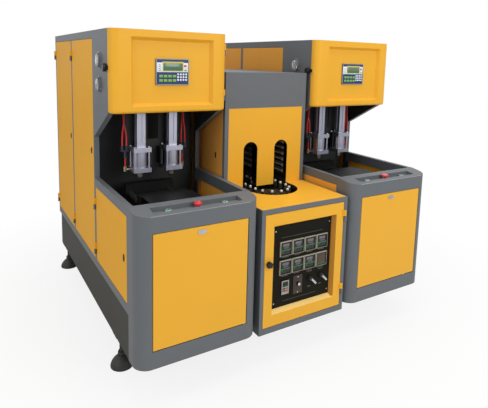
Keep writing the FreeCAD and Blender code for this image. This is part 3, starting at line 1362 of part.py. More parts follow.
def conveyor_bed():
    """A tray under the chain, hung from the cabinet by a flange, and the cover over the middle."""
    half = 0.5 * HEATER_W
    s = SHEET
    tray = box(-half + s, half - s, TRAY_FRONT, HEATER_BACK - s, BED_Z, BED_Z + BED_SHEET)
    top = BED_Z + BED_SHEET
    low = BED_Z - BEARING_DEEP
    shafts = [rod_z(0, y, low, top, SHAFT_R + BEARING_WALL) for y in (CONVEYOR_FRONT, CONVEYOR_BACK)]
    bores = [rod_z(0, y, low, top, SHAFT_R + RUN) for y in (CONVEYOR_FRONT, CONVEYOR_BACK)]
    reach = SPROCKET_R + COVER_GAP
    y0 = CONVEYOR_FRONT + reach
    y1 = CONVEYOR_BACK - reach
    under = COVER_TOP - COVER_T
    cover = box(-ISLAND_R, ISLAND_R, y0, y1, under, COVER_TOP)
    posts = [rod_z(0, y, top, under, COVER_POST_R) for y in (y0 + COVER_POST_IN, y1 - COVER_POST_IN)]
    return joined([tray] + shafts + [cover] + posts).cut(bores)


def conveyor_motor():
    """Gear motor hung under the tray at the rear shaft."""
    z1 = BED_Z - BEARING_DEEP
    y = CONVEYOR_BACK
    hx, hy = GEAR_HALF
    gear = box(-hx, hx, y - hy, y + hy, z1 - GEAR_H, z1).cut(rod_z(0, y, z1 - GEAR_BORE, z1, SHAFT_R + RUN))
    front = y - hy - MOTOR_LEN
    motor = rod_y(0, front, y - hy, z1 - 0.5 * GEAR_H, MOTOR_R)
    fan = rod_y(0, front - FAN_LEN, front, z1 - 0.5 * GEAR_H, FAN_R)
    return joined([gear, motor, fan])


def conveyor():
    keep("heater_table", heater_table())
    keep("conveyor_chain", conveyor_chain())
    keep("preform_mandrels", [mandrel(x, y) for x, y in loop_places()])
    keep("front_sprocket", sprocket(CONVEYOR_FRONT))
    keep("rear_sprocket", sprocket(CONVEYOR_BACK))
    keep("conveyor_bed", conveyor_bed())
    keep("conveyor_motor", conveyor_motor())


# Oven tower

def oven_tower():
    """Four posts and a top box that stand on the table."""
    half = 0.5 * TOWER_W
    p = TOWER_POST
    s = SHEET
    y0 = TOWER_FRONT
    y1 = HEATER_BACK
    posts = [box(*sorted((sx * half, sx * (half - p))), y, y + p, TABLE_TOP, TOWER_BAND)
             for sx in (-1, 1) for y in (y0, y1 - p)]
    top = box(-half, half, y0, y1, TOWER_BAND, TOWER_TOP)
    hollow = box(-half + s, half - s, y0 + s, y1 - s, TOWER_BAND, TOWER_TOP - s)
    back = box(-half + p, half - p, y1 - s, y1, TABLE_TOP, TOWER_BAND)
    return joined([top.cut(hollow), back] + posts)


def arch_panel():
    """The front panel with two arched openings down to the table."""
    half = 0.5 * TOWER_W - TOWER_POST
    t = ARCH_SHEET
    y0 = TOWER_FRONT + 1
    y1 = y0 + ARCH_FOLD
    panel = box(-half, half, y0, y1, TABLE_TOP, TOWER_BAND)
    back = box(-half + t, half - t, y0 + t, y1, TABLE_TOP + t, TOWER_BAND - t)
    r = 0.5 * ARCH_W
    spring = ARCH_TOP - r
    arches = []
    collars = []
    for x in (-ARCH_X, ARCH_X):
        arches.append(joined([box(x - r, x + r, y0, y1, TABLE_TOP, spring), rod_y(x, y0, y1, spring, r)]))
        collars.append(joined([box(x - r - t, x + r + t, y0, y1, TABLE_TOP, spring),
                               rod_y(x, y0, y1, spring, r + t)]))
    return joined([panel.cut(back)] + collars).cut(arches)


def oven_side_panels():
    """Sheets that close the tower's sides, with an oval lock near the front."""
    half = 0.5 * TOWER_W
    g = SEAT
    y0 = TOWER_FRONT + TOWER_POST + g
    y1 = HEATER_BACK - TOWER_POST - g
    leaf = pan(y0, y1, TABLE_TOP + g, TOWER_BAND - g, DOOR_T, DOOR_FOLD)
    lock = oval_lock(y0 + OVEN_LOCK_SET, OVEN_LOCK_Z, LOCK_W, LOCK_H)
    left = joined([leaf, lock]).translated(V(-half, 0, 0))
    return [left, left.mirror(V(0, 0, 0), V(1, 0, 0))]


def infrared_lamps():
    y0, y1 = LAMP_Y
    lamps = []
    for s in (-1, 1):
        for i in range(LAMP_ROWS):
            lamps.append(rod_y(s * LAMP_X, y0, y1, LAMP_Z + LAMP_PITCH * i, LAMP_R))
    return lamps


def lamp_reflectors():
    """Polished sheets behind the lamps and down the middle, with the lamp holders."""
    y0, y1 = LAMP_Y
    t = REFLECTOR_T
    parts = []
    for s in (-1, 1):
        back = sorted((s * (LAMP_X + 18), s * (LAMP_X + 18 + t)))
        sheet = box(*back, y0 - 10, y1 + 10, TABLE_TOP, REFLECTOR_TOP)
        holder_x = sorted((s * (LAMP_X - 8), s * (LAMP_X + 18)))
        holders = [box(*holder_x, y, y + 10, LAMP_Z - 14, LAMP_Z + LAMP_PITCH * (LAMP_ROWS - 1) + 14)
                   for y in (y0 - 10, y1)]
        parts.append(joined([sheet] + holders))
        middle = sorted((s * ISLAND_R, s * (ISLAND_R - t)))
        foot = sorted((s * ISLAND_R, s * (ISLAND_R - 20)))
        parts.append(joined([box(*middle, y0 + 10, y1 - 60, TABLE_TOP - 4, REFLECTOR_TOP),
                             box(*foot, y0 + 10, y1 - 60, TABLE_TOP - 4, TABLE_TOP - 4 + t)]))
    return parts


def oven():
    keep("oven_tower", oven_tower())
    keep("arch_panel", arch_panel())
    keep("oven_side_panels", oven_side_panels())
    keep("infrared_lamps", infrared_lamps())
    keep("lamp_reflectors", lamp_reflectors())


cabinets()
base_frames()
levelling_feet()
side_doors()
housings()
hoods()
pressure_gauges()
clamps()
blowing()
air_lines()
heater()
conveyor()
oven()

os.makedirs("parts", exist_ok=True)
for name, shape in pieces.items():
    shape.exportStep(f"parts/{name}.step")
print(len(pieces), "nodes")
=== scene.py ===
# %% [markdown]
# # A stretch blow moulding machine with a preform heater
#
# Two moulding units stand on either side of a heater cabinet with an oven and a chain conveyor.
# The frame is a finished model in metres: the origin is on the floor under the middle of the
# machine, Z is up, and the operator stands on the -Y side. This script dresses that frame: it
# gives every part a finish and adds the small visible pieces, such as keys, dials and screws.

# %% Load the frame
import bpy
import math
from mathutils import Matrix, Vector


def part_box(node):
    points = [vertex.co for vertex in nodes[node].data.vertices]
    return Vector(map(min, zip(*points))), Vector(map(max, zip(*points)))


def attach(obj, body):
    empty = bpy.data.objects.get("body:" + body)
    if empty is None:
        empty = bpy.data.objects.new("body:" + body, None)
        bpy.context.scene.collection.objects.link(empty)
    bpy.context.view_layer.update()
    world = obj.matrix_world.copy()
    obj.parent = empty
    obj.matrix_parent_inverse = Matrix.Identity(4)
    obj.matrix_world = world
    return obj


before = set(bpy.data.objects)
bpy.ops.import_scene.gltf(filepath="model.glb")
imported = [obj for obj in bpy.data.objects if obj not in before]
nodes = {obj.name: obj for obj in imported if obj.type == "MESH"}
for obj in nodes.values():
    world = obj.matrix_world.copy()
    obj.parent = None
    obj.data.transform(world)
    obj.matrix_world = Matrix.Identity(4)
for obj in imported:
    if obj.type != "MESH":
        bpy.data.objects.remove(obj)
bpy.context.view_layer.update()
UNITS = ("left", "right")
MM = 0.001

# %% [markdown]
# ## Camera
#
# The photograph was taken from the front left at eye level with a fairly wide lens, and then
# cropped, so its optical axis lies above the middle of the picture. In Blender that is a
# vertical lens shift. The angles were found by matching the corners of the cabinets.

# %% Camera
PHOTO_WIDTH = 488
PHOTO_HEIGHT = 408
FOCAL_PIXELS = 471.9
AXIS_PIXEL = (250.3, 123.7)
CAMERA_PLACE = (-1.503, -2.7015, 1.546)
YAW, PITCH, ROLL = math.radians(31.83), math.radians(7.57), math.radians(1.56)

lens = bpy.data.cameras.new("camera")
lens.sensor_width = 36.0
lens.lens = FOCAL_PIXELS / PHOTO_WIDTH * lens.sensor_width
lens.shift_x = (PHOTO_WIDTH / 2 - AXIS_PIXEL[0]) / PHOTO_WIDTH
lens.shift_y = (AXIS_PIXEL[1] - PHOTO_HEIGHT / 2) / PHOTO_WIDTH
camera = bpy.data.objects.new("camera", lens)
bpy.context.scene.collection.objects.link(camera)
turn = (Matrix.Rotation(-YAW, 4, "Z") @ Matrix.Rotation(math.pi / 2 - PITCH, 4, "X")
        @ Matrix.Rotation(ROLL, 4, "Z"))
camera.matrix_world = Matrix.Translation(CAMERA_PLACE) @ turn
bpy.context.scene.camera = camera
print("lens", round(lens.lens, 1), "mm, shift", round(lens.shift_x, 3), round(lens.shift_y, 3))

# %% [markdown]
# ## Colours
#
# Colours are noted as they look on a screen, from 0 to 255. The renderer works with light
# itself, so each value is turned into linear light before it goes into a material.

# %% Colour helpers


def light_of(red, green, blue):
    """Linear RGBA of a colour noted in screen values."""
    channels = []
    for value in (red, green, blue):
        share = value / 255.0
        channels.append(share / 12.92 if share <= 0.04045 else ((share + 0.055) / 1.055) ** 2.4)
    return (*channels, 1.0)


def shade(colour, factor):
    """A lighter or darker tone of a colour."""
    return tuple(min(1.0, channel * factor) for channel in colour[:3]) + (1.0,)


# %% [markdown]
# ## Nodes
#
# A material is a small network: every node takes numbers, colours or the results of other nodes.
# These helpers add one node each and wire it up, so that the recipes below read like sentences.

# %% Node helpers


def feed(tree, value, socket):
    """Give a socket a constant, or link it to another socket."""
    if isinstance(value, bpy.types.NodeSocket):
        tree.links.new(value, socket)
    else:
        socket.default_value = value


def noise(tree, mapping, scale, detail):
    """A noise pattern on mapped coordinates."""
    pattern = tree.nodes.new("ShaderNodeTexNoise")
    pattern.inputs["Scale"].default_value = scale
    pattern.inputs["Detail"].default_value = detail
    tree.links.new(mapping.outputs["Vector"], pattern.inputs["Vector"])
    return pattern


def mix_colour(tree, factor, low, high):
    """A mix of two colours or colour sockets, steered by a socket."""
    mix = tree.nodes.new("ShaderNodeMix")
    mix.data_type = "RGBA"
    tree.links.new(factor, mix.inputs["Factor"])
    feed(tree, low, mix.inputs[6])
    feed(tree, high, mix.inputs[7])
    return mix.outputs[2]


def map_range(tree, value, source, target):
    """Carry a value from one range to another."""
    node = tree.nodes.new("ShaderNodeMapRange")
    node.inputs["From Min"].default_value, node.inputs["From Max"].default_value = source
    node.inputs["To Min"].default_value, node.inputs["To Max"].default_value = target
    tree.links.new(value, node.inputs["Value"])
    return node.outputs["Result"]


def combine(tree, operation, first, second):
    """A Math node on two values, each a socket or a number."""
    node = tree.nodes.new("ShaderNodeMath")
    node.operation = operation
    feed(tree, first, node.inputs[0])
    feed(tree, second, node.inputs[1])
    return node.outputs[0]


def combine_all(tree, operation, values):
    """Join any number of sockets by one operation."""
    joined = values[0]
    for value in values[1:]:
        joined = combine(tree, operation, joined, value)
    return joined


# %% [markdown]
# ## Finishes
#
# A real finish is never quite even. Powder coat has a fine orange peel and drifts a little in
# tone, brushed steel has long streaks, and cast iron is rough. All of them are one idea: a noise
# pattern, stretched where the tool or the roller ran, that moves the tone, the gloss and the
# surface a little. One helper builds them all from numbers.

# %% Finish helper
BROAD_GRAIN = 4.0
GLOSS_DRIFT = 0.06
COAT_GLOSS = 0.15


def finish(name, colour, gloss=0.4, metal=0.0, grain=60.0, stretch=(1, 1, 1), tone=0.06,
           relief=0.02, coat=0.0, shine=0.3):
    """A material from a screen colour; gloss is the roughness, grain the noise per metre."""
    material = bpy.data.materials.new(name)
    material.use_nodes = True
    tree = material.node_tree
    shader = tree.nodes["Principled BSDF"]
    shader.inputs["Metallic"].default_value = metal
    shader.inputs["Specular IOR Level"].default_value = shine if metal < 0.5 else 0.5
    shader.inputs["Coat Weight"].default_value = coat
    shader.inputs["Coat Roughness"].default_value = COAT_GLOSS
    place = tree.nodes.new("ShaderNodeTexCoord")
    mapping = tree.nodes.new("ShaderNodeMapping")
    mapping.inputs["Scale"].default_value = stretch
    tree.links.new(place.outputs["Object"], mapping.inputs["Vector"])
    fine = noise(tree, mapping, grain, 3.0)
    broad = noise(tree, mapping, BROAD_GRAIN, 2.0)
    light = light_of(*colour)
    tint = mix_colour(tree, broad.outputs["Fac"], shade(light, 1.0 - tone),
                      shade(light, 1.0 + 0.5 * tone))
    tree.links.new(tint, shader.inputs["Base Color"])
    rough = map_range(tree, fine.outputs["Fac"], (0.3, 0.7),
                      (gloss - GLOSS_DRIFT, gloss + GLOSS_DRIFT))
    tree.links.new(rough, shader.inputs["Roughness"])
    bump = tree.nodes.new("ShaderNodeBump")
    bump.inputs["Strength"].default_value = 0.5
    bump.inputs["Distance"].default_value = relief * MM
    tree.links.new(fine.outputs["Fac"], bump.inputs["Height"])
    tree.links.new(bump.outputs["Normal"], shader.inputs["Normal"])
    return material


# %% [markdown]
# ## The paints, metals and plastics of this machine
#
# The sheet metal has two powder coats: a warm yellow on doors, hoods and panels and a mid grey
# on the cabinets. The base is darker, and everything round the moulds is black. Many parts share
# a coat but carry their own lock or bezel later, so each gets its own material from one recipe.

# %% Paints
YELLOW = (235, 174, 50)
GREY = (101, 105, 109)
LOCK_BLACK = (30, 30, 32)
# Painted shade for the surfaces inside the oven.
OVEN_SHADE = (46, 40, 26)


def yellow_coat(name):
    """The yellow powder coat."""
    return finish(name, YELLOW, gloss=0.42, grain=900, tone=0.04, relief=0.03, shine=0.22)


def grey_coat(name):
    """The grey powder coat."""
    return finish(name, GREY, gloss=0.45, grain=900, tone=0.06, relief=0.04, shine=0.3)


grey_paint = grey_coat("grey_paint")
base_paint = finish("base_paint", (58, 58, 54), gloss=0.55, grain=700, tone=0.08,
                    relief=0.04, shine=0.2)
black_paint = finish("black_paint", (32, 32, 31), gloss=0.45, grain=500, tone=0.15,
                     relief=0.05, shine=0.3)
clamp_paint = finish("clamp_paint", (21, 22, 21), gloss=0.5, grain=500, tone=0.2,
                     relief=0.05, shine=0.15)
inner_paint = finish("inner_door_paint", (232, 164, 66), gloss=0.5, grain=900, tone=0.06,
                     shine=0.15)
well_paint = finish("well_paint", (50, 43, 33), gloss=0.5, grain=500, tone=0.2, shine=0.2)
plate_paint = finish("control_plate", (20, 19, 11), gloss=0.5, grain=800, tone=0.1,
                     relief=0.04, shine=0.1)
print(len(bpy.data.materials), "paints")

# %% Metals
steel = finish("ground_steel", (150, 150, 150), gloss=0.32, metal=1.0, grain=400, tone=0.1)
bright_steel = finish("bright_steel", (215, 215, 218), gloss=0.14, metal=1.0, grain=300, tone=0.05)
aluminium = finish("anodised_aluminium", (176, 177, 191), gloss=0.38, metal=1.0, grain=350,
                   stretch=(1, 1, 0.03), tone=0.05)
cast_iron = finish("painted_iron", (58, 58, 56), gloss=0.55, grain=260, tone=0.2, relief=0.3)
mirror_sheet = finish("polished_sheet", (220, 220, 222), gloss=0.12, metal=1.0, grain=60,
                      relief=0.2)
wheel_steel = finish("wheel_steel", (84, 75, 60), gloss=0.42, metal=0.6, grain=250, tone=0.25)
chain_steel = finish("chain_steel", (66, 58, 46), gloss=0.45, metal=0.6, grain=500, tone=0.25)
gauge_metal = finish("gauge_case", (128, 126, 128), gloss=0.35, metal=0.35, grain=300, tone=0.1)
print(len(bpy.data.materials), "materials with the metals")

# %% Plastics and glass
black_plastic = finish("black_plastic", (32, 32, 32), gloss=0.4, grain=800, relief=0.05)
green_plastic = finish("green_cap", (0, 115, 84), gloss=0.25, grain=300, coat=0.4)
navy_plastic = finish("terminal_navy", (32, 56, 104), gloss=0.3, grain=900, coat=0.2)
red_hose = finish("red_hose", (196, 44, 42), gloss=0.35, grain=200, tone=0.1, coat=0.2)
# The lamp tubes are opaque and pale: their colour is a painted highlight in place of the
# reflections on their glass.
lamp_glass = finish("quartz_glass", (206, 192, 168), gloss=0.15, grain=120, tone=0.05, coat=0.5)
clear_cover = finish("clear_cover", (240, 244, 244), gloss=0.05, grain=120, tone=0.03, relief=0.01)
cover_shader = clear_cover.node_tree.nodes["Principled BSDF"]
cover_shader.inputs["Transmission Weight"].default_value = 0.85
cover_shader.inputs["IOR"].default_value = 1.46
print(len(bpy.data.materials), "materials with plastics and glass")

# %% [markdown]
# ## Finishes that change from place to place
#
# The cabinets are grey outside and black where the moulds work, and many parts carry a small
# piece of another finish, such as a lock in a door. One node can't have two materials here, so
# the material itself asks where it is: inside a box of its own coordinates it changes colour,
# gloss and metal.

# %% Patches of another finish
FAR = 10000.0
ANY = (-FAR, FAR)


def between(tree, value, low, high):
    """1 where a coordinate lies between two limits, else 0."""
    above = combine(tree, "GREATER_THAN", value, low)
    below = combine(tree, "LESS_THAN", value, high)
    return combine(tree, "MULTIPLY", above, below)


def region(tree, box):
    """1 inside a box on object coordinates, else 0."""
    place = tree.nodes.new("ShaderNodeTexCoord")
    split = tree.nodes.new("ShaderNodeSeparateXYZ")
    tree.links.new(place.outputs["Object"], split.inputs[0])
    return combine_all(tree, "MULTIPLY", [between(tree, split.outputs[axis], low, high)
                                          for axis, (low, high) in zip("XYZ", box)])


def blend_into(tree, socket, mask, value):
    """Mix a value into a socket where the mask is 1."""
    old = socket.links[0].from_socket if socket.is_linked else socket.default_value
    if socket.type == "RGBA":
        tree.links.new(mix_colour(tree, mask, old, value), socket)
        return
    mix = tree.nodes.new("ShaderNodeMix")
    mix.data_type = "FLOAT"
    for given, target in zip((mask, old, value), (mix.inputs[0], mix.inputs[2], mix.inputs[3])):
        feed(tree, given, target)
    tree.links.new(mix.outputs[0], socket)


def patch(material, boxes, colour, metal=0.0, gloss=0.4):
    """Give a material another finish inside some boxes, each (low, high) limits on X, Y and Z."""
    tree = material.node_tree
    inputs = tree.nodes["Principled BSDF"].inputs
    mask = combine_all(tree, "MAXIMUM", [region(tree, box) for box in boxes])
    blend_into(tree, inputs["Base Color"], mask, light_of(*colour))
    blend_into(tree, inputs["Roughness"], mask, gloss)
    if metal != inputs["Metallic"].default_value or inputs["Metallic"].is_linked:
        blend_into(tree, inputs["Metallic"], mask, metal)
    return material


# %% Cabinets, black inside
WALL = 27 * MM
SKIN = 2 * MM
RIM_DEPTH = 690 * MM
RIM_START = 640 * MM
cabinet_paints = {}
for unit in UNITS:
    low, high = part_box(f"{unit}_front_housing")
    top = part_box(f"{unit}_cabinet")[1]
    across = (low.x + WALL - SKIN / 4, high.x - WALL + SKIN / 4)
    inside = (across, (-FAR, top.y - SKIN), (-FAR, top.z - SKIN))
    # The rim zone round the moulds has the grey coat; a darker grey is painted over it as shade.
    rim_shade = (across, (-FAR, low.y + RIM_DEPTH), (low.z + RIM_START, high.z + MM))
    paint = patch(grey_coat(f"{unit}_cabinet_paint"), [inside], (42, 44, 44), gloss=0.55)
    cabinet_paints[unit] = patch(paint, [rim_shade], (84, 87, 90), gloss=0.5)
print("cabinets are black behind walls of", round(WALL / MM), "mm")

# %% [markdown]
# ## Places on the drawing
#
# Locks, knobs and bevels are small, so their places come from the drawing of the machine: x and z
# are counted in millimetres from a unit's left side and from the floor, y from the machine's
# front. For the heater, x is counted from the machine's middle.

# %% Places on the drawing
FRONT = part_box("left_front_housing")[0].y
LEFT_OF = {unit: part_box(f"{unit}_front_housing")[0].x for unit in UNITS}
LEFT_OF["heater"] = 0.0
UNIT_WIDE = (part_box("left_front_housing")[1].x - LEFT_OF["left"]) / MM


def spot(where, x, y, z):
    """A point of the drawing in the scene."""
    return Vector((LEFT_OF[where] + x * MM, FRONT + y * MM, z * MM))


def limits(where, x, y, z):
    """Limits on X, Y and Z from three (low, high) pairs of the drawing."""
    low, high = spot(where, x[0], y[0], z[0]), spot(where, x[1], y[1], z[1])
    return tuple(zip(low, high))


print("unit width", round(UNIT_WIDE, 1), "mm")

# %% [markdown]
# ## Doors, panels and hoods with their locks
#
# An oval lock sits near the front edge of each door, a bright one at the top of each front panel
# and a turn latch on each hood's side. Locks stand proud of the sheet, so a box that starts just
# in front of the sheet catches the lock and leaves the sheet yellow.

# %% Doors, panels and hoods
PROUD, CLEAR = 20, 0.4
LOCK_FROM_EDGE = (20, 56)
LOCK_HALF = 30
PANEL_LOCK = (270, 340), (-PROUD, -CLEAR), (750, 800)
HOOD_LATCH = (-30, -0.3), (300, 600), (1400, 1600)
OUTSIDE = {"left": (-PROUD, -CLEAR), "right": (UNIT_WIDE + CLEAR, UNIT_WIDE + PROUD)}
lock_boxes = []
for unit, outside in OUTSIDE.items():
    for name in ("front_door", "middle_door", "rear_door"):
        low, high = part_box(f"{unit}_{name}")
        middle = (low.z + high.z) / 2 / MM
        edge = (low.y - FRONT) / MM
        lock_boxes.append(limits(unit, outside, [edge + reach for reach in LOCK_FROM_EDGE],
                                 (middle - LOCK_HALF, middle + LOCK_HALF)))
door_paint = finish("door_paint", (233, 169, 36), gloss=0.5, grain=900, tone=0.05,
                    relief=0.03, shine=0.12)
patch(door_paint, lock_boxes, LOCK_BLACK, gloss=0.3)
panel_paint = patch(yellow_coat("panel_paint"), [limits(unit, *PANEL_LOCK) for unit in UNITS],
                    (185, 186, 190), metal=1.0, gloss=0.22)
hood_paint = patch(yellow_coat("hood_paint"), [limits(unit, *HOOD_LATCH) for unit in UNITS],
                   LOCK_BLACK, gloss=0.3)
print("door locks at", len(lock_boxes), "places")

# %% [markdown]
# ## Front housings
#
# The buttons stand in bright bezels, and the folded edge at the front of the ledge carries a
# painted highlight where it catches the light. Both are patches on the grey coat.

# %% Front housings
BEZEL_AREA = 16 * MM
BEZEL_RISE = 9.8 * MM
EDGE_INSET = 60 * MM
EDGE_DEPTH = 3 * MM
EDGE_BELOW = (20 * MM, 15 * MM)
bezels, edges = [], []
for unit in UNITS:
    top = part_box(f"{unit}_start_button_a")[1].z
    for name in ("start_button_a", "start_button_b", "emergency_stop"):
        low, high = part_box(f"{unit}_{name}")
        middle = (low + high) / 2
        bezels.append(((middle.x - BEZEL_AREA, middle.x + BEZEL_AREA),
                       (middle.y - BEZEL_AREA, middle.y + BEZEL_AREA), (top - BEZEL_RISE, FAR)))
    low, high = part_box(f"{unit}_front_housing")
    edges.append(((low.x + EDGE_INSET, high.x - EDGE_INSET), (low.y - MM, low.y + EDGE_DEPTH),
                  (high.z - EDGE_BELOW[0], high.z - EDGE_BELOW[1])))
housing_paint = grey_coat("housing_paint")
# A painted highlight along the ledge's folded front edge.
patch(housing_paint, edges, (140, 142, 148), gloss=0.35)
patch(housing_paint, bezels, (215, 215, 220), metal=0.6, gloss=0.2)
print(len(bezels), "bezels and", len(edges), "ledge edges")

# %% [markdown]
# ## Oven and tower
#
# The oven's sheets are painted yellow outside and carry painted shade inside, as do the tower and
# the arch panel. A sheet and its lock are one node, so three boxes side by side tell them apart:
# the lock stands proud, then comes the painted skin, and all that lies deeper gets the painted
# shade.

# %% Oven and tower
OVEN_SKIN = 2.5 * MM
OVEN_LOCK = 2.9 * MM
low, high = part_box("oven_side_panels")
oven_paint = finish("oven_side_paint", (232, 162, 74), gloss=0.42, grain=900, tone=0.04,
                    relief=0.03, shine=0.22)
deep = OVEN_LOCK + OVEN_SKIN
# Painted shade on the sheets' inner faces, deeper than the lock and the skin.
patch(oven_paint, [((low.x + deep, high.x - deep), ANY, ANY)], OVEN_SHADE, gloss=0.5)
patch(oven_paint, [((-FAR, low.x + OVEN_LOCK), ANY, ANY), ((high.x - OVEN_LOCK, FAR), ANY, ANY)],
      LOCK_BLACK, gloss=0.3)
low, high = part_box("oven_tower")
# Painted shade on the tower's inside faces.
inside = ((low.x + OVEN_SKIN, high.x - OVEN_SKIN), (low.y + OVEN_SKIN, high.y - OVEN_SKIN),
          (-FAR, high.z - OVEN_SKIN))
tower_paint = patch(grey_coat("tower_paint"), [inside], (46, 42, 32), gloss=0.5)
# Painted shade on the arch panel behind its front, inside the oven.
arch_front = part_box("arch_panel")[0].y + MM
arch_paint = patch(yellow_coat("arch_paint"), [(ANY, (arch_front, FAR), ANY)], OVEN_SHADE, gloss=0.5)
print("oven sheets are dark", round(deep / MM, 1), "mm in")

# %% [markdown]
# ## Heater door and table
#
# The recess round the control plate has folded bevels. The lower one looks up into the light and
# the right one looks away from it, which the photograph shows strongly, so the lower one gets a
# painted highlight and the right one painted shade. The table is yellow inside a grey edge, with
# painted shade in the conveyor's slot and in the oven.

# %% Heater door
BEVEL = (1.5 * MM, 15 * MM)
BEVEL_REACH = 12 * MM
low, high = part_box("control_plate")
behind = (FRONT + 0.5 * MM, FAR)
door_bevels = yellow_coat("heater_door_paint")
# A painted highlight on the lower bevel.
lower = ((low.x - BEVEL_REACH, high.x + BEVEL_REACH), behind, (low.z - BEVEL[1], low.z - BEVEL[0]))
patch(door_bevels, [lower], (255, 216, 132), gloss=0.4)
# Painted shade on the right bevel.
right = ((high.x + BEVEL[0], high.x + BEVEL[1]), behind,
         (low.z - BEVEL_REACH, high.z + BEVEL_REACH))
patch(door_bevels, [right], (196, 136, 52), gloss=0.45)
print("bevels", round((BEVEL[1] - BEVEL[0]) / MM, 1), "mm wide")

# %% Heater table
TABLE_EDGE = 6 * MM
TABLE_SKIN = 0.5 * MM
SLOT_HALF = 165 * MM
SLOT_START = 50 * MM
low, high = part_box("heater_table")
surface = (high.z - TABLE_SKIN, FAR)
table_paint = grey_coat("table_paint")
patch(table_paint, [((low.x + TABLE_EDGE, high.x - TABLE_EDGE),
                     (low.y + TABLE_EDGE, high.y - TABLE_EDGE), surface)], YELLOW, gloss=0.42)
# Painted shade in the conveyor's slot, and on the table's top inside the oven.
patch(table_paint, [((-SLOT_HALF, SLOT_HALF), (low.y + SLOT_START, FAR),
                     (-FAR, high.z - TABLE_SKIN - 0.1 * MM))], (40, 34, 26), gloss=0.5)
patch(table_paint, [(ANY, (arch_front, high.y - TABLE_EDGE), surface)], OVEN_SHADE, gloss=0.5)
print("table", round((high.x - low.x) / MM), "mm wide")

# %% [markdown]
# ## Fittings, switches and mandrels
#
# Small turned parts often join two materials: a chrome lever on a black ring, a red mushroom on a
# grey collar, a brass elbow below a dark manifold, a mandrel that is bright at its tip and darker
# below. One limit across the part is enough to change the finish there.

# %% Fittings, stops and switches
MANIFOLD_Z = 1.0
STOP_HEAD = 21 * MM
LEVER_RING_Y = 26.6
KNOB_CAP_Y = 29.5
PANEL_Z = (0, 1000)
fitting_metal = finish("fittings", (176, 160, 128), gloss=0.3, metal=1.0, grain=300, tone=0.15)
patch(fitting_metal, [(ANY, ANY, (MANIFOLD_Z, FAR))], (34, 38, 52), gloss=0.35)
stop_plastic = finish("stop_cap", (216, 44, 54), gloss=0.28, grain=300, coat=0.4)
stop_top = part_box("left_emergency_stop")[1].z
patch(stop_plastic, [(ANY, ANY, (-FAR, stop_top - STOP_HEAD))], (70, 70, 72), gloss=0.35)
lever_metal = finish("lever_metal", (200, 200, 204), gloss=0.2, metal=1.0, grain=300, tone=0.05)
patch(lever_metal, [limits("heater", ANY, (LEVER_RING_Y, FAR), PANEL_Z)], (40, 40, 42),
      gloss=0.35)
knob_black = finish("knob_black", (26, 26, 28), gloss=0.3, grain=400)
patch(knob_black, [limits("heater", ANY, (-FAR, KNOB_CAP_Y), PANEL_Z)], (214, 212, 208),
      metal=1.0, gloss=0.2)
print("levers, knob, stops and fittings done")

# %% Mandrels
SPINDLE_TOP = 0.829
mandrel_steel = finish("mandrel_steel", (220, 214, 198), gloss=0.35, metal=0.4, grain=300, tone=0.1)
patch(mandrel_steel, [(ANY, ANY, (-FAR, SPINDLE_TOP))], (56, 49, 40), metal=0.3, gloss=0.5)
print("mandrels are bright above", SPINDLE_TOP, "m")

# %% [markdown]
# ## Instrument frames
#
# Eight temperature controllers sit in two rows of four, and the CAD model holds them as one
# node. Each has a thin beige frame round a dark front, so the inside of every frame is patched.

# %% Instrument frames
FRAME_WIDE, FRAME_HIGH = 74 * MM, 77 * MM
FRAME_LINE = 3 * MM
FIRST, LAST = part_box("temperature_controllers")
STEP_X = (LAST.x - FIRST.x - FRAME_WIDE) / 3
STEP_Z = LAST.z - FIRST.z - FRAME_HIGH
insides = []
for column in range(4):
    for row in range(2):
        x, z = FIRST.x + column * STEP_X, FIRST.z + row * STEP_Z
        insides.append(((x + FRAME_LINE, x + FRAME_WIDE - FRAME_LINE), ANY,
                        (z + FRAME_LINE, z + FRAME_HIGH - FRAME_LINE)))
beige_plastic = finish("instrument_frame", (172, 167, 150), gloss=0.45, grain=900, relief=0.04)
patch(beige_plastic, insides, (34, 32, 28), gloss=0.3)
print("instrument steps", round(STEP_X / MM, 1), round(STEP_Z / MM, 1), "mm")

# %% [markdown]
# ## Which part gets which finish
#
# A table of names keeps this readable: every node of the frame is named once, and a name that
# was forgotten would stop the script here.

# %% Dress the frame
PAIRED = {
    "hood": hood_paint, "front_door": door_paint, "middle_door": door_paint,
    "rear_door": door_paint, "front_panel": panel_paint, "front_housing": housing_paint,
    "moving_platen": clamp_paint, "blow_nozzles": steel, "stretch_rods": bright_steel,
    "start_button_a": green_plastic, "start_button_b": green_plastic,
    "emergency_stop": stop_plastic, "terminal": navy_plastic,
}
SINGLE = {
    "heater_table": table_paint, "arch_panel": arch_paint, "oven_side_panels": oven_paint,
    "inner_side_panels": inner_paint, "heater_door": door_bevels, "oven_tower": tower_paint,
    "heater_cabinet": grey_paint, "base_frames": base_paint, "conveyor_bed": well_paint,
    "clamp_frames": clamp_paint, "clamp_cylinders": clamp_paint, "clamp_tie_bars": steel,
    "levelling_feet": cast_iron, "conveyor_motor": steel, "heater_switch_a": lever_metal,
    "heater_switch_b": lever_metal, "speed_knob": knob_black, "blow_cylinders": aluminium,
    "stretch_cylinders": aluminium, "cylinder_brackets": black_paint, "air_hoses": red_hose,
    "hose_fittings": fitting_metal, "pressure_gauges": gauge_metal,
    "heater_door_knob": black_plastic, "control_plate": plate_paint,
    "temperature_controllers": beige_plastic, "infrared_lamps": lamp_glass,
    "lamp_reflectors": mirror_sheet, "preform_mandrels": mandrel_steel,
    "conveyor_chain": chain_steel, "front_sprocket": wheel_steel, "rear_sprocket": wheel_steel,
}
finishes = dict(SINGLE)
for unit in UNITS:
    finishes.update({f"{unit}_{name}": material for name, material in PAIRED.items()})
    finishes[f"{unit}_cabinet"] = cabinet_paints[unit]
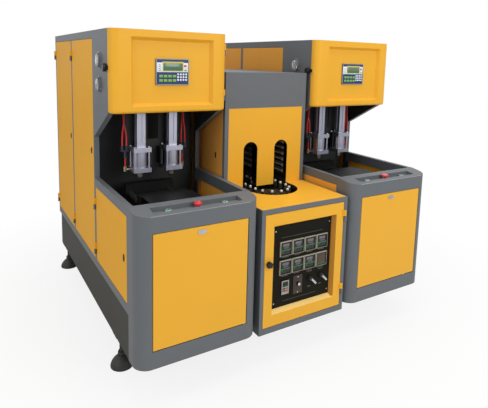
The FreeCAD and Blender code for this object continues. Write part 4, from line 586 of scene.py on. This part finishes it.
for name, part in nodes.items():
    part.data.materials.clear()
    part.data.materials.append(finishes[name])
print("dressed", len(nodes), "nodes")

# %% [markdown]
# ## Tools for small pieces
#
# Each piece starts as a primitive at its real size and place and is then shaped: edges are
# rounded, faces are inset and pushed in, and what repeats is copied. The helpers keep the
# selection clean, because every operator acts on all that is selected.

# %% Start a piece
SMOOTH_UNDER = math.radians(40)
TURNS = {"X": (0, math.pi / 2, 0), "Y": (math.pi / 2, 0, 0), "Z": (0, 0, 0)}


def only(piece):
    """Make one piece the only selected one."""
    if bpy.context.object and bpy.context.object.mode != "OBJECT":
        bpy.ops.object.mode_set(mode="OBJECT")
    bpy.ops.object.select_all(action="DESELECT")
    if piece:
        piece.select_set(True)
        bpy.context.view_layer.objects.active = piece
    return piece


def settle(piece, name):
    """Move a new primitive's place and size into its mesh."""
    only(piece)
    piece.name = name
    piece.data.name = name
    bpy.ops.object.transform_apply(location=True, rotation=True, scale=True)
    return piece


def soften(piece, width, segments=2):
    """Round the sharp edges."""
    only(piece)
    bevel = piece.modifiers.new("edges", "BEVEL")
    bevel.width = width
    bevel.segments = segments
    bevel.limit_method = "ANGLE"
    bpy.ops.object.modifier_apply(modifier=bevel.name)
    bpy.ops.object.shade_smooth_by_angle(angle=SMOOTH_UNDER)
    return piece


def block(name, low, high, edge=0.0005, segments=2):
    """A block between two corners with rounded edges."""
    only(None)
    low, high = Vector(low), Vector(high)
    bpy.ops.mesh.primitive_cube_add(size=1.0, location=(low + high) / 2)
    piece = bpy.context.object
    piece.scale = high - low
    return soften(settle(piece, name), edge, segments)


def disc(name, centre, radius, depth, axis, edge=0.0005, sides=32):
    """A round block about an axis, with rounded rims."""
    only(None)
    bpy.ops.mesh.primitive_cylinder_add(vertices=sides, radius=radius, depth=depth,
                                        location=centre, rotation=TURNS[axis])
    return soften(settle(bpy.context.object, name), edge)


# %% [markdown]
# ## Shaping and repeating
#
# A dished key cap is a face that is inset and pushed in, and a ring is a disc whose two ends are
# inset and bridged. Faces are chosen by where they look, as a hand would pick them.

# %% Shape, copy and join
LIP = 0.0002


def pick(piece, test):
    """Enter edit mode with the faces that pass the test selected."""
    only(piece)
    bpy.context.tool_settings.mesh_select_mode = (False, False, True)
    bpy.ops.object.mode_set(mode="EDIT")
    bpy.ops.mesh.select_all(action="DESELECT")
    bpy.ops.object.mode_set(mode="OBJECT")
    for face in piece.data.polygons:
        face.select = test(face)
    bpy.ops.object.mode_set(mode="EDIT")


def sink(piece, direction, margin, depth):
    """Inset the largest face that looks along a direction and push it in."""
    direction = Vector(direction)
    facing = [face for face in piece.data.polygons if face.normal.dot(direction) > 0.99]
    target = max(facing, key=lambda face: face.area).index
    pick(piece, lambda face: face.index == target)
    bpy.ops.mesh.inset(thickness=margin, depth=0.0)
    bpy.ops.mesh.inset(thickness=LIP, depth=0.0)
    bpy.ops.transform.translate(value=direction * -depth)
    bpy.ops.object.mode_set(mode="OBJECT")
    return piece


def pierce(piece, wall):
    """Open a standing round piece from top to bottom, leaving a wall."""
    pick(piece, lambda face: abs(face.normal.z) > 0.99)
    bpy.ops.mesh.inset(thickness=wall, depth=0.0)
    bpy.ops.mesh.bridge_edge_loops()
    bpy.ops.object.mode_set(mode="OBJECT")
    return piece


def shift(piece, offset):
    """Move a piece's mesh."""
    piece.data.transform(Matrix.Translation(offset))
    return piece


def swing(piece, angle, axis):
    """Turn a piece's mesh about an axis through the origin."""
    piece.data.transform(Matrix.Rotation(angle, 4, axis))
    return piece


def copied(piece, name, offset):
    """A copy with its own mesh, moved by an offset."""
    twin = piece.copy()
    twin.data = piece.data.copy()
    twin.name = name
    twin.data.name = name
    bpy.context.scene.collection.objects.link(twin)
    return shift(twin, offset)


def merged(name, parts):
    """One piece from several."""
    only(parts[0])
    for part in parts:
        part.select_set(True)
    if len(parts) > 1:
        bpy.ops.object.join()
    parts[0].name = name
    parts[0].data.name = name
    return parts[0]


def repeated(piece, name, offsets):
    """Copies of a pattern piece at every offset as one piece, without the pattern itself."""
    twins = [copied(piece, name, offset) for offset in offsets]
    only(piece)
    bpy.ops.object.delete()
    return merged(name, twins)


def put(piece, body, material):
    """Paint a finished piece and let it ride on a body."""
    piece.data.materials.clear()
    piece.data.materials.append(material)
    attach(piece, body)
    return piece


# %% [markdown]
# ## Operator terminals
#
# Each hood carries a small terminal: a navy front with a white upper band, a greenish display,
# eight green function keys and a block of round white number keys. The keys are raised blocks, so
# they catch light as real ones do.

# %% Terminal colours
white_plastic = finish("terminal_white", (228, 232, 236), gloss=0.35, grain=900, tone=0.03)
rim_plastic = finish("terminal_rim", (150, 160, 180), gloss=0.3, grain=600)
screen = finish("terminal_display", (84, 118, 84), gloss=0.15, grain=30, tone=0.12, coat=0.6)
# The display's surround is pale yellow as a painted highlight round the recessed display.
screen_edge_highlight = finish("display_edge_highlight", (222, 208, 120), gloss=0.35, grain=400)
key_green = finish("function_keys", (128, 176, 78), gloss=0.35, grain=300)
key_white = finish("number_keys", (226, 232, 238), gloss=0.35, grain=300)
key_red = finish("stop_key", (205, 52, 58), gloss=0.35, grain=300)
mark_dark = finish("printed_marks", (70, 76, 92), gloss=0.5, grain=300)

# %% [markdown]
# ## Places on a terminal
#
# Places on the terminal's face are shares of its width and height, counted from its upper left
# corner: left, right, top, bottom. So the face fits the terminal, whatever its size.

# %% Build the terminals
RIMS = ((0.0, 1.0, 0.0, 0.022), (0.0, 1.0, 0.978, 1.0), (0.0, 0.018, 0.0, 1.0),
        (0.982, 1.0, 0.0, 1.0))
KEY_ROWS = (0.615, 0.78)
KEY_WIDE, KEY_HIGH, KEY_STEP = 0.105, 0.095, 0.135
KEY_PROUD = 0.0022
ROUND_FIRST, ROUND_STEP = (0.665, 0.59), (0.083, 0.108)
ROUND_R = 0.0052
SHORT_MARKS = ((0.22, 0.05), (0.29, 0.06), (0.36, 0.045), (0.43, 0.055))
LONG_MARKS = ((0.64, 0.93, 0.075, 0.1), (0.1, 0.5, 0.92, 0.94))


def terminal_face(unit):
    """Everything on the terminal's front, placed by shares of its width and height."""
    low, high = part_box(f"{unit}_terminal")
    width, height = high.x - low.x, high.z - low.z

    def panel(left, right, top, bottom, proud, edge=0.0006):
        corner = (low.x + left * width, low.y - proud, high.z - bottom * height)
        other = (low.x + right * width, low.y + 0.002, high.z - top * height)
        return block("panel", corner, other, edge)

    def add(name, parts, material):
        put(merged(f"{unit}_{name}", parts), f"{unit}_hood", material)

    add("terminal_rim", [panel(*place, 0.002) for place in RIMS], rim_plastic)
    add("terminal_band", [panel(0.025, 0.975, 0.14, 0.505, 0.0008)], white_plastic)
    surround = panel(0.19, 0.83, 0.105, 0.475, 0.0018)
    add("terminal_surround", [sink(surround, (0, -1, 0), 0.003, 0.0008)], screen_edge_highlight)
    add("terminal_display", [panel(0.215, 0.805, 0.175, 0.455, 0.0024)], screen)
    lefts = [0.095 + KEY_STEP * column for column in range(4)]
    keys = [panel(left, left + KEY_WIDE, top, top + KEY_HIGH, KEY_PROUD)
            for top in KEY_ROWS for left in lefts]
    add("function_keys", keys, key_green)
    rounds = []
    for row in range(3):
        for column in range(4):
            x = low.x + (ROUND_FIRST[0] + ROUND_STEP[0] * column) * width
            z = high.z - (ROUND_FIRST[1] + ROUND_STEP[1] * row) * height
            rounds.append(disc("round_key", (x, low.y, z), ROUND_R, 0.005, "Y", 0.0008, 20))
    add("number_keys", rounds, key_white)
    add("terminal_red_key", [panel(0.845, 0.925, 0.225, 0.30, KEY_PROUD)], key_red)
    add("terminal_green_key", [panel(0.86, 0.93, 0.40, 0.465, KEY_PROUD)], key_green)
    marks = [panel(0.085, 0.085 + size, top, top + 0.022, 0.0011, 0.0002)
             for top, size in SHORT_MARKS]
    marks += [panel(*place, 0.0004, 0.0002) for place in LONG_MARKS]
    add("terminal_marks", marks, mark_dark)


for unit in UNITS:
    terminal_face(unit)
print("terminals done")

# %% [markdown]
# ## Pressure gauges
#
# Two flanged gauges sit in the left wall of each unit. Behind the glass there is a white dial
# with plain tick marks and a needle. The dial looks to the left, along -X. Every fifth tick is
# longer, and the marks fan over 270 degrees, as on most gauges.

# %% Gauge sizes and colours
dial_white = finish("dial_white", (196, 192, 190), gloss=0.5, grain=200, tone=0.02)
needle_black = finish("needle_black", (25, 25, 25), gloss=0.4, grain=200)
GAUGE_YZ = ((-0.3245, 1.530), (-0.3195, 1.411))
DIAL_R = 0.0295
DIAL_IN = 10 * MM
FLANGE_T = 3 * MM
SCREW_CIRCLE = 39 * MM
TICK_ANGLES = [math.radians(225 - 27 * step) for step in range(11)]

# %% Gauge faces


def gauge_tick(step, angle, front, y, z):
    """One tick on the dial, longer at every fifth step."""
    long = 0.006 if step % 5 == 0 else 0.004
    out = DIAL_R - 0.003 - long / 2
    tick = block("tick", (-0.0002, -0.0005, -long / 2), (0.0002, 0.0005, long / 2), 0.0001, 1)
    swing(tick, angle - math.pi / 2, "X")
    return shift(tick, (front - 0.001, y + out * math.cos(angle), z + out * math.sin(angle)))


def gauge_face(unit, number, y, z, reading):
    """Dial, marks, glass and flange screws of one gauge; the reading is the needle's turn."""
    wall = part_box(f"{unit}_front_housing")[0].x
    front = wall - DIAL_IN
    dial = disc(f"{unit}_dial_{number}", (front - 0.0003, y, z), DIAL_R, 0.001, "X", 0.0002, 48)
    put(dial, "frame", dial_white)
    marks = [gauge_tick(step, angle, front, y, z) for step, angle in enumerate(TICK_ANGLES)]
    needle = block("needle", (-0.0003, -0.0007, -0.006), (0.0003, 0.0007, 0.021), 0.0002, 1)
    marks.append(shift(swing(needle, math.radians(reading), "X"), (front - 0.0018, y, z)))
    marks.append(disc("hub", (front - 0.0018, y, z), 0.003, 0.0016, "X", 0.0003, 20))
    put(merged(f"{unit}_gauge_marks_{number}", marks), "frame", needle_black)
    cover = disc(f"{unit}_gauge_glass_{number}", (front - 0.0028, y, z), DIAL_R, 0.0006, "X",
                 0.0002, 48)
    put(cover, "frame", clear_cover)
    screws = []
    for angle in (math.radians(90), math.radians(210), math.radians(330)):
        centre = (wall - FLANGE_T - 0.0006, y + SCREW_CIRCLE * math.cos(angle),
                  z + SCREW_CIRCLE * math.sin(angle))
        head = disc("flange_screw", centre, 0.003, 0.0016, "X", 0.0004, 16)
        screws.append(sink(head, (-1, 0, 0), 0.0012, 0.0006))
    put(merged(f"{unit}_gauge_screws_{number}", screws), "frame", bright_steel)


for unit in UNITS:
    for number, (y, z) in enumerate(GAUGE_YZ):
        gauge_face(unit, number, y, z, 40 - 70 * number)
print("gauges done")

# %% [markdown]
# ## Panel instruments
#
# Inside each beige frame there is a dark window with a grey two-line display, a green stripe and
# small keys. One set is modelled at the first place and copied to the others. The last place of
# the lower row holds a plain instrument with a brown window.

# %% Instrument colours
window_black = finish("instrument_window", (24, 24, 24), gloss=0.2, grain=200, coat=0.3)
window_brown = finish("plain_window", (72, 58, 46), gloss=0.25, grain=200, coat=0.2)
digit_grey = finish("display_grey", (112, 110, 112), gloss=0.3, grain=90, tone=0.25)
digit_dim = finish("display_dim", (98, 88, 96), gloss=0.3, grain=90, tone=0.25)
stripe_green = finish("green_stripe", (40, 124, 74), gloss=0.35, grain=300)
lamp_green = finish("green_lamps", (40, 150, 84), gloss=0.3, grain=300)
key_dark = finish("dark_keys", (58, 56, 54), gloss=0.4, grain=300)

# %% Instrument faces
WINDOW_Y = FIRST.y + 3 * MM
GLASS_Y = WINDOW_Y - 0.5 * MM
WINDOW_IN = 6 * MM
FLAT = 0.0006
PLAIN_PLACE = 3


def on_face(name, left, right, top, bottom, back, proud, edge=0.0003):
    """A flat piece on the first instrument, by shares of its window's width and height."""
    x, z = FIRST.x + WINDOW_IN, FIRST.z + FRAME_HIGH - WINDOW_IN
    wide, tall = FRAME_WIDE - 2 * WINDOW_IN, FRAME_HIGH - 2 * WINDOW_IN
    return block(name, (x + left * wide, back - proud, z - bottom * tall),
                 (x + right * wide, back, z - top * tall), edge)


def instrument_set():
    """The pieces of one instrument, each with its material."""
    upper = on_face("digits_upper", 0.17, 0.80, 0.09, 0.31, GLASS_Y, FLAT)
    lower = on_face("digits_lower", 0.27, 0.75, 0.35, 0.50, GLASS_Y, FLAT)
    keys = [on_face("key", x, x + 0.11, 0.80, 0.9, GLASS_Y, 0.0008)
            for x in (0.30, 0.46, 0.62, 0.78)]
    lamps = [on_face("lamp", x, x + 0.05, z, z + 0.05, GLASS_Y, FLAT)
             for x, z in ((0.1, 0.70), (0.1, 0.80), (0.2, 0.70))]
    window = on_face("window", 0.01, 0.99, 0.01, 0.99, WINDOW_Y, 0.0005)
    stripe = on_face("stripe", 0.02, 0.98, 0.575, 0.65, GLASS_Y, FLAT)
    return ((window, window_black), (upper, digit_grey), (lower, digit_dim), (stripe, stripe_green),
            (merged("keys", keys), key_dark), (merged("lamps", lamps), lamp_green))


def step_to(place):
    """The way from the first instrument to another, counted along the rows from below."""
    row, column = divmod(place, 4)
    return Vector((column * STEP_X, 0, row * STEP_Z))


for piece, material in instrument_set():
    name = piece.name
    if name == "window":
        plain = copied(piece, "plain_instrument_window", step_to(PLAIN_PLACE))
        put(plain, "heater_door", window_brown)
    twins = [piece] + [copied(piece, name, step_to(place))
                       for place in range(1, 8) if place != PLAIN_PLACE]
    put(merged(f"instrument_{name}", twins), "heater_door", material)
line = on_face("plain_instrument_line", 0.03, 0.97, 0.9, 0.96, GLASS_Y, FLAT)
put(shift(line, step_to(PLAIN_PLACE)), "heater_door", stripe_green)
print("instrument faces done")

# %% [markdown]
# ## Control plate
#
# Below the instruments there are a small keypad, a brown speed setter with a dial, and two lever
# switches. Short grey bars mark each instrument and switch. The plate is held by a slotted screw
# in each corner, which is a rounded head with a dark bar for the slot.

# %% Plate helpers
label_grey = finish("label_grey", (88, 86, 80), gloss=0.5, grain=300)
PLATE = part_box("control_plate")
PLATE_FRONT = 45.0


def on_plate(name, x, z, proud, base=PLATE_FRONT, edge=0.0003):
    """A flat piece in front of the plate, from (low, high) pairs in drawing millimetres."""
    face = spot("heater", 0, base, 0).y
    return block(name, (x[0] * MM, face - proud, z[0] * MM),
                 (x[1] * MM, face + 0.0002, z[1] * MM), edge)


def slotted_screws(name, places, radius):
    """Pan heads with slots, each at (x, y, z) in front of a face, turned by some degrees."""
    heads, slots = [], []
    for (x, y, z), degrees in places:
        heads.append(disc(name, (x, y - 0.0008, z), radius, 0.0016, "Y", 0.0005, 24))
        slot = block("slot", (-radius * 0.8, -0.0002, -0.0004), (radius * 0.8, 0.0002, 0.0004),
                     0.0001, 1)
        slots.append(shift(swing(slot, math.radians(degrees), "Y"), (x, y - 0.0017, z)))
    put(merged(f"{name}s", heads), "heater_door", bright_steel)
    put(merged(f"{name}_slots", slots), "heater_door", black_plastic)


# %% Marks and corner screws
MARK = 0.0003
SCREW_IN_X, SCREW_IN_Z = 13 * MM, 26 * MM
SWITCH_XS = (52, 126)
bars = []
for row in range(2):
    for column in range(4):
        x = (FIRST.x + FRAME_WIDE / 2 + column * STEP_X) / MM
        z = (FIRST.z + row * STEP_Z) / MM
        bars.append(on_plate("label", (x - 20, x + 20), (z - 11, z - 7), MARK))
for x in SWITCH_XS:
    bars.append(on_plate("label", (x - 16, x + 16), (438, 442), MARK))
    bars.append(on_plate("label", (x - 9, x + 9), (352, 357), MARK))
bars.append(on_plate("label", (-140, 130), (657, 659), MARK))
bars.append(on_plate("label", (-120, 100), (312, 314), MARK))
put(merged("plate_marks", bars), "heater_door", label_grey)
plate_y = spot("heater", 0, PLATE_FRONT, 0).y
slotted_screws("plate_screw", [((x, plate_y, z), 30 + 90 * (x + z))
                               for x in (PLATE[0].x + SCREW_IN_X, PLATE[1].x - SCREW_IN_X)
                               for z in (PLATE[0].z + SCREW_IN_Z, PLATE[1].z - SCREW_IN_Z)], 0.0038)
print(len(bars), "bars on the plate")

# %% Keypad
panel_white = finish("panel_white", (164, 160, 154), gloss=0.4, grain=300)
panel_red = finish("panel_red", (204, 44, 46), gloss=0.35, grain=300)
KEYPAD_FRONT = 41.0


def on_keypad(name, x, z, material, proud=KEY_PROUD, edge=0.0003):
    """A key, display or face of the keypad."""
    put(on_plate(name, x, z, proud, KEYPAD_FRONT, edge), "heater_door", material)


on_keypad("keypad_face", (-131, -85), (350, 424), panel_white, 0.0008, 0.0004)
on_keypad("keypad_display", (-126, -90), (391, 418), window_black, 0.0016, 0.0005)
keys = [on_plate("pad_key", (x, x + 8), (z, z + 8), KEY_PROUD, KEYPAD_FRONT)
        for z in (378, 366) for x in (-126, -115)]
put(merged("keypad_keys", keys), "heater_door", key_dark)
on_keypad("keypad_start", (-102, -91), (377, 387), lamp_green)
on_keypad("keypad_stop", (-102, -91), (363, 374), panel_red)
print("keypad done")

# %% Speed setter
setter_brown = finish("setter_brown", (58, 48, 40), gloss=0.35, grain=300, tone=0.1)
SETTER_FRONT = 43.5
SETTER_X, SETTER_Z, SETTER_R = -26, 390, 17
face = on_plate("setter_face", (-56, 4), (334, 436), 0.0006, SETTER_FRONT)
put(face, "heater_door", setter_brown)
marks = []
for angle in TICK_ANGLES:
    tick = block("dial_tick", (-0.0004, -0.0003, -0.0025), (0.0004, 0.0003, 0.0025), 0.0001, 1)
    marks.append(shift(swing(tick, math.pi / 2 - angle, "Y"),
                       spot("heater", SETTER_X + SETTER_R * math.cos(angle), SETTER_FRONT - 0.8,
                            SETTER_Z + SETTER_R * math.sin(angle))))
marks.append(on_plate("dial_rule", (-50, -2), (347, 348.5), 0.001, SETTER_FRONT))
put(merged("setter_marks", marks), "heater_door", label_grey)
slotted_screws("setter_screw", [(spot("heater", SETTER_X, SETTER_FRONT - 0.6, z), 40)
                                for z in (426, 342)], 0.0035)
print("control plate done")

# %% [markdown]
# ## Push buttons
#
# The start buttons have a dished cap inside a chrome ring, and the emergency stop carries three
# light arrows that show which way it unlocks. The arrows are raised a little, like moulded ones.

# %% Start buttons
cap_green = finish("button_face", (20, 132, 96), gloss=0.3, grain=200, coat=0.4)
ring_chrome = finish("ring_chrome", (226, 226, 228), gloss=0.2, metal=0.5, grain=300, tone=0.03)
CAP_R = 0.0092
RING_DEEP, RING_OUT, RING_WALL = 0.005, 0.003, 0.0022


def start_button(unit, side):
    """Cap and ring of a start button; the cap rides on the button, the ring stays."""
    name = f"{unit}_start_button_{side}"
    low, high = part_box(name)
    x, y = (low.x + high.x) / 2, (low.y + high.y) / 2
    cap = disc(f"{unit}_start_cap_{side}", (x, y, high.z + 0.0002), CAP_R, 0.0012, "Z", 0.0004)
    put(sink(cap, (0, 0, 1), 0.0012, 0.0005), name, cap_green)
    ring = disc(f"{unit}_start_ring_{side}", (x, y, high.z - 0.0024),
                (high.x - low.x) / 2 + RING_OUT, RING_DEEP, "Z", 0.0008, 40)
    put(pierce(ring, RING_WALL), "frame", ring_chrome)


# %% Stop arrows
arrow_pink = finish("stop_arrows", (238, 186, 186), gloss=0.35, grain=200)
ARROW_OUT = 0.0085


def stop_arrows(unit):
    """Three arrows round the middle of an emergency stop."""
    name = f"{unit}_emergency_stop"
    low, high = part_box(name)
    arrows = []
    for degrees in (20, 140, 260):
        arrow = block("arrow", (-0.0012, -0.0045, -0.0004), (0.0012, 0.0045, 0.0004), 0.0003, 1)
        swing(shift(arrow, (ARROW_OUT, 0, high.z + 0.0001)), math.radians(degrees), "Z")
        arrows.append(shift(arrow, ((low.x + high.x) / 2, (low.y + high.y) / 2, 0)))
    put(merged(f"{unit}_stop_arrows", arrows), name, arrow_pink)


for unit in UNITS:
    start_button(unit, "a")
    start_button(unit, "b")
    stop_arrows(unit)
print("button tops done")

# %% [markdown]
# ## Cylinder bolts and lamp sockets
#
# The caps of the blow cylinders are held by the tie rods' domed nuts, and each infrared lamp ends
# in two white ceramic sockets. Both are modelled once and copied to every place.

# %% Cap nuts
CYLINDER_XS, CYLINDER_Y = (197, 371), 540
ROD_SET = 37 * MM
NUT_Z = 1.0905
NUT_DOME = 0.0015
nut = disc("cap_nut", (0, 0, 0), 0.0065, 0.005, "Z", 0.0012, 6)
pick(nut, lambda face: face.normal.z > 0.9)
bpy.ops.mesh.inset(thickness=NUT_DOME, depth=0.0)
bpy.ops.transform.translate(value=(0, 0, NUT_DOME))
bpy.ops.object.mode_set(mode="OBJECT")
places = []
for unit in UNITS:
    for x in CYLINDER_XS:
        centre = spot(unit, x, CYLINDER_Y, 0)
        places += [Vector((centre.x + sx * ROD_SET, centre.y + sy * ROD_SET, NUT_Z))
                   for sx in (-1, 1) for sy in (-1, 1)]
put(repeated(nut, "cap_nuts", places), "frame", bright_steel)
print(len(places), "nuts")

# %% Lamp sockets
ceramic = finish("ceramic", (232, 226, 210), gloss=0.4, grain=200, tone=0.03)
LAMP_RADIUS = 5.5 * MM
LAMP_STEP = 36 * MM
SOCKET_LONG = 22 * MM
SOCKET_CLEAR = 0.0003
low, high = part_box("infrared_lamps")
rows = round((high.z - low.z - 2 * LAMP_RADIUS) / LAMP_STEP) + 1
reach = SOCKET_LONG / 2 + SOCKET_CLEAR
places = [Vector((x, y, low.z + LAMP_RADIUS + row * LAMP_STEP))
          for x in (low.x + LAMP_RADIUS, high.x - LAMP_RADIUS) for row in range(rows)
          for y in (low.y + reach, high.y - reach)]
socket = disc("socket", (0, 0, 0), 0.0085, SOCKET_LONG, "Y", 0.001, 20)
put(repeated(socket, "lamp_sockets", places), "frame", ceramic)
print(len(places), "sockets")

# %% [markdown]
# ## Floor and background
#
# A pale floor carries the machine's shadow. Far from the machine it fades into the background,
# by glowing white for the camera alone, so no light from it reaches the machine.

# %% Floor
SHADOW_FADE = (1.0, 2.4)
SHADOW_LIFT = (0.84, 1.0)
only(None)
bpy.ops.mesh.primitive_plane_add(size=60.0, location=(0, 0, 0))
floor = settle(bpy.context.object, "floor")
floor_paint = bpy.data.materials.new("floor_paint")
floor_paint.use_nodes = True
tree = floor_paint.node_tree
shader = tree.nodes["Principled BSDF"]
shader.inputs["Roughness"].default_value = 0.9
shader.inputs["Specular IOR Level"].default_value = 0.1
place = tree.nodes.new("ShaderNodeTexCoord")
distance = tree.nodes.new("ShaderNodeVectorMath")
distance.operation = "LENGTH"
tree.links.new(place.outputs["Object"], distance.inputs[0])
tone = map_range(tree, distance.outputs["Value"], (1.5, 5.0), (0.0, 1.0))
tree.links.new(mix_colour(tree, tone, (0.80, 0.80, 0.80, 1.0), (0.86, 0.86, 0.86, 1.0)),
               shader.inputs["Base Color"])
glow = tree.nodes.new("ShaderNodeEmission")
glow.inputs["Color"].default_value = (1.0, 1.0, 1.0, 1.0)
seen = tree.nodes.new("ShaderNodeLightPath")
lift = map_range(tree, distance.outputs["Value"], SHADOW_FADE, SHADOW_LIFT)
share = combine(tree, "MULTIPLY", lift, seen.outputs["Is Camera Ray"])
both = tree.nodes.new("ShaderNodeMixShader")
for output, socket in zip((share, shader.outputs[0], glow.outputs[0]), both.inputs):
    tree.links.new(output, socket)
tree.links.new(both.outputs[0], tree.nodes["Material Output"].inputs["Surface"])
floor.data.materials.append(floor_paint)
print("floor fades out between", *SHADOW_FADE, "m")

# %% [markdown]
# ## World and lamps
#
# The world is white for the camera and in reflections, and dimmer as a light. Large soft lamps
# stand in front, at the left and overhead, so that the front is the brightest side and the left
# sides are a little darker, as in the photograph.

# %% World
AMBIENT = 0.4
world = bpy.data.worlds.new("studio")
bpy.context.scene.world = world
world.use_nodes = True
tree = world.node_tree
background = tree.nodes["Background"]
background.inputs["Color"].default_value = (1.0, 1.0, 1.0, 1.0)
seen = tree.nodes.new("ShaderNodeLightPath")
rays = [seen.outputs[ray] for ray in ("Is Camera Ray", "Is Glossy Ray", "Is Transmission Ray")]
bright = map_range(tree, combine_all(tree, "MAXIMUM", rays), (0.0, 1.0), (AMBIENT, 1.0))
tree.links.new(bright, background.inputs["Strength"])
print("world lights at", AMBIENT)

# %% Lamps
LAMP_SIZE = 3.0


def soft_lamp(name, place, target, power):
    """A square area lamp that looks at a target."""
    lamp = bpy.data.lights.new(name, "AREA")
    lamp.shape = "SQUARE"
    lamp.size = LAMP_SIZE
    lamp.energy = power
    holder = bpy.data.objects.new(name, lamp)
    bpy.context.scene.collection.objects.link(holder)
    place, target = Vector(place), Vector(target)
    look = (target - place).to_track_quat("-Z", "Y").to_matrix().to_4x4()
    holder.matrix_world = Matrix.Translation(place) @ look


soft_lamp("front_lamp", (1.2, -5.0, 3.2), (0.0, -0.3, 0.8), 115)
soft_lamp("left_lamp", (-4.5, -1.5, 3.0), (0.0, 0.0, 0.8), 58)
soft_lamp("top_lamp", (0.0, -0.6, 4.8), (0.0, 0.0, 0.0), 95)
print(len(bpy.data.lights), "lamps")

# %% [markdown]
# ## Finish
#
# The colours are meant to be seen as they are, so the view transform is the plain one.

# %% Finish the scene
bpy.context.scene.view_settings.view_transform = "Standard"
only(None)
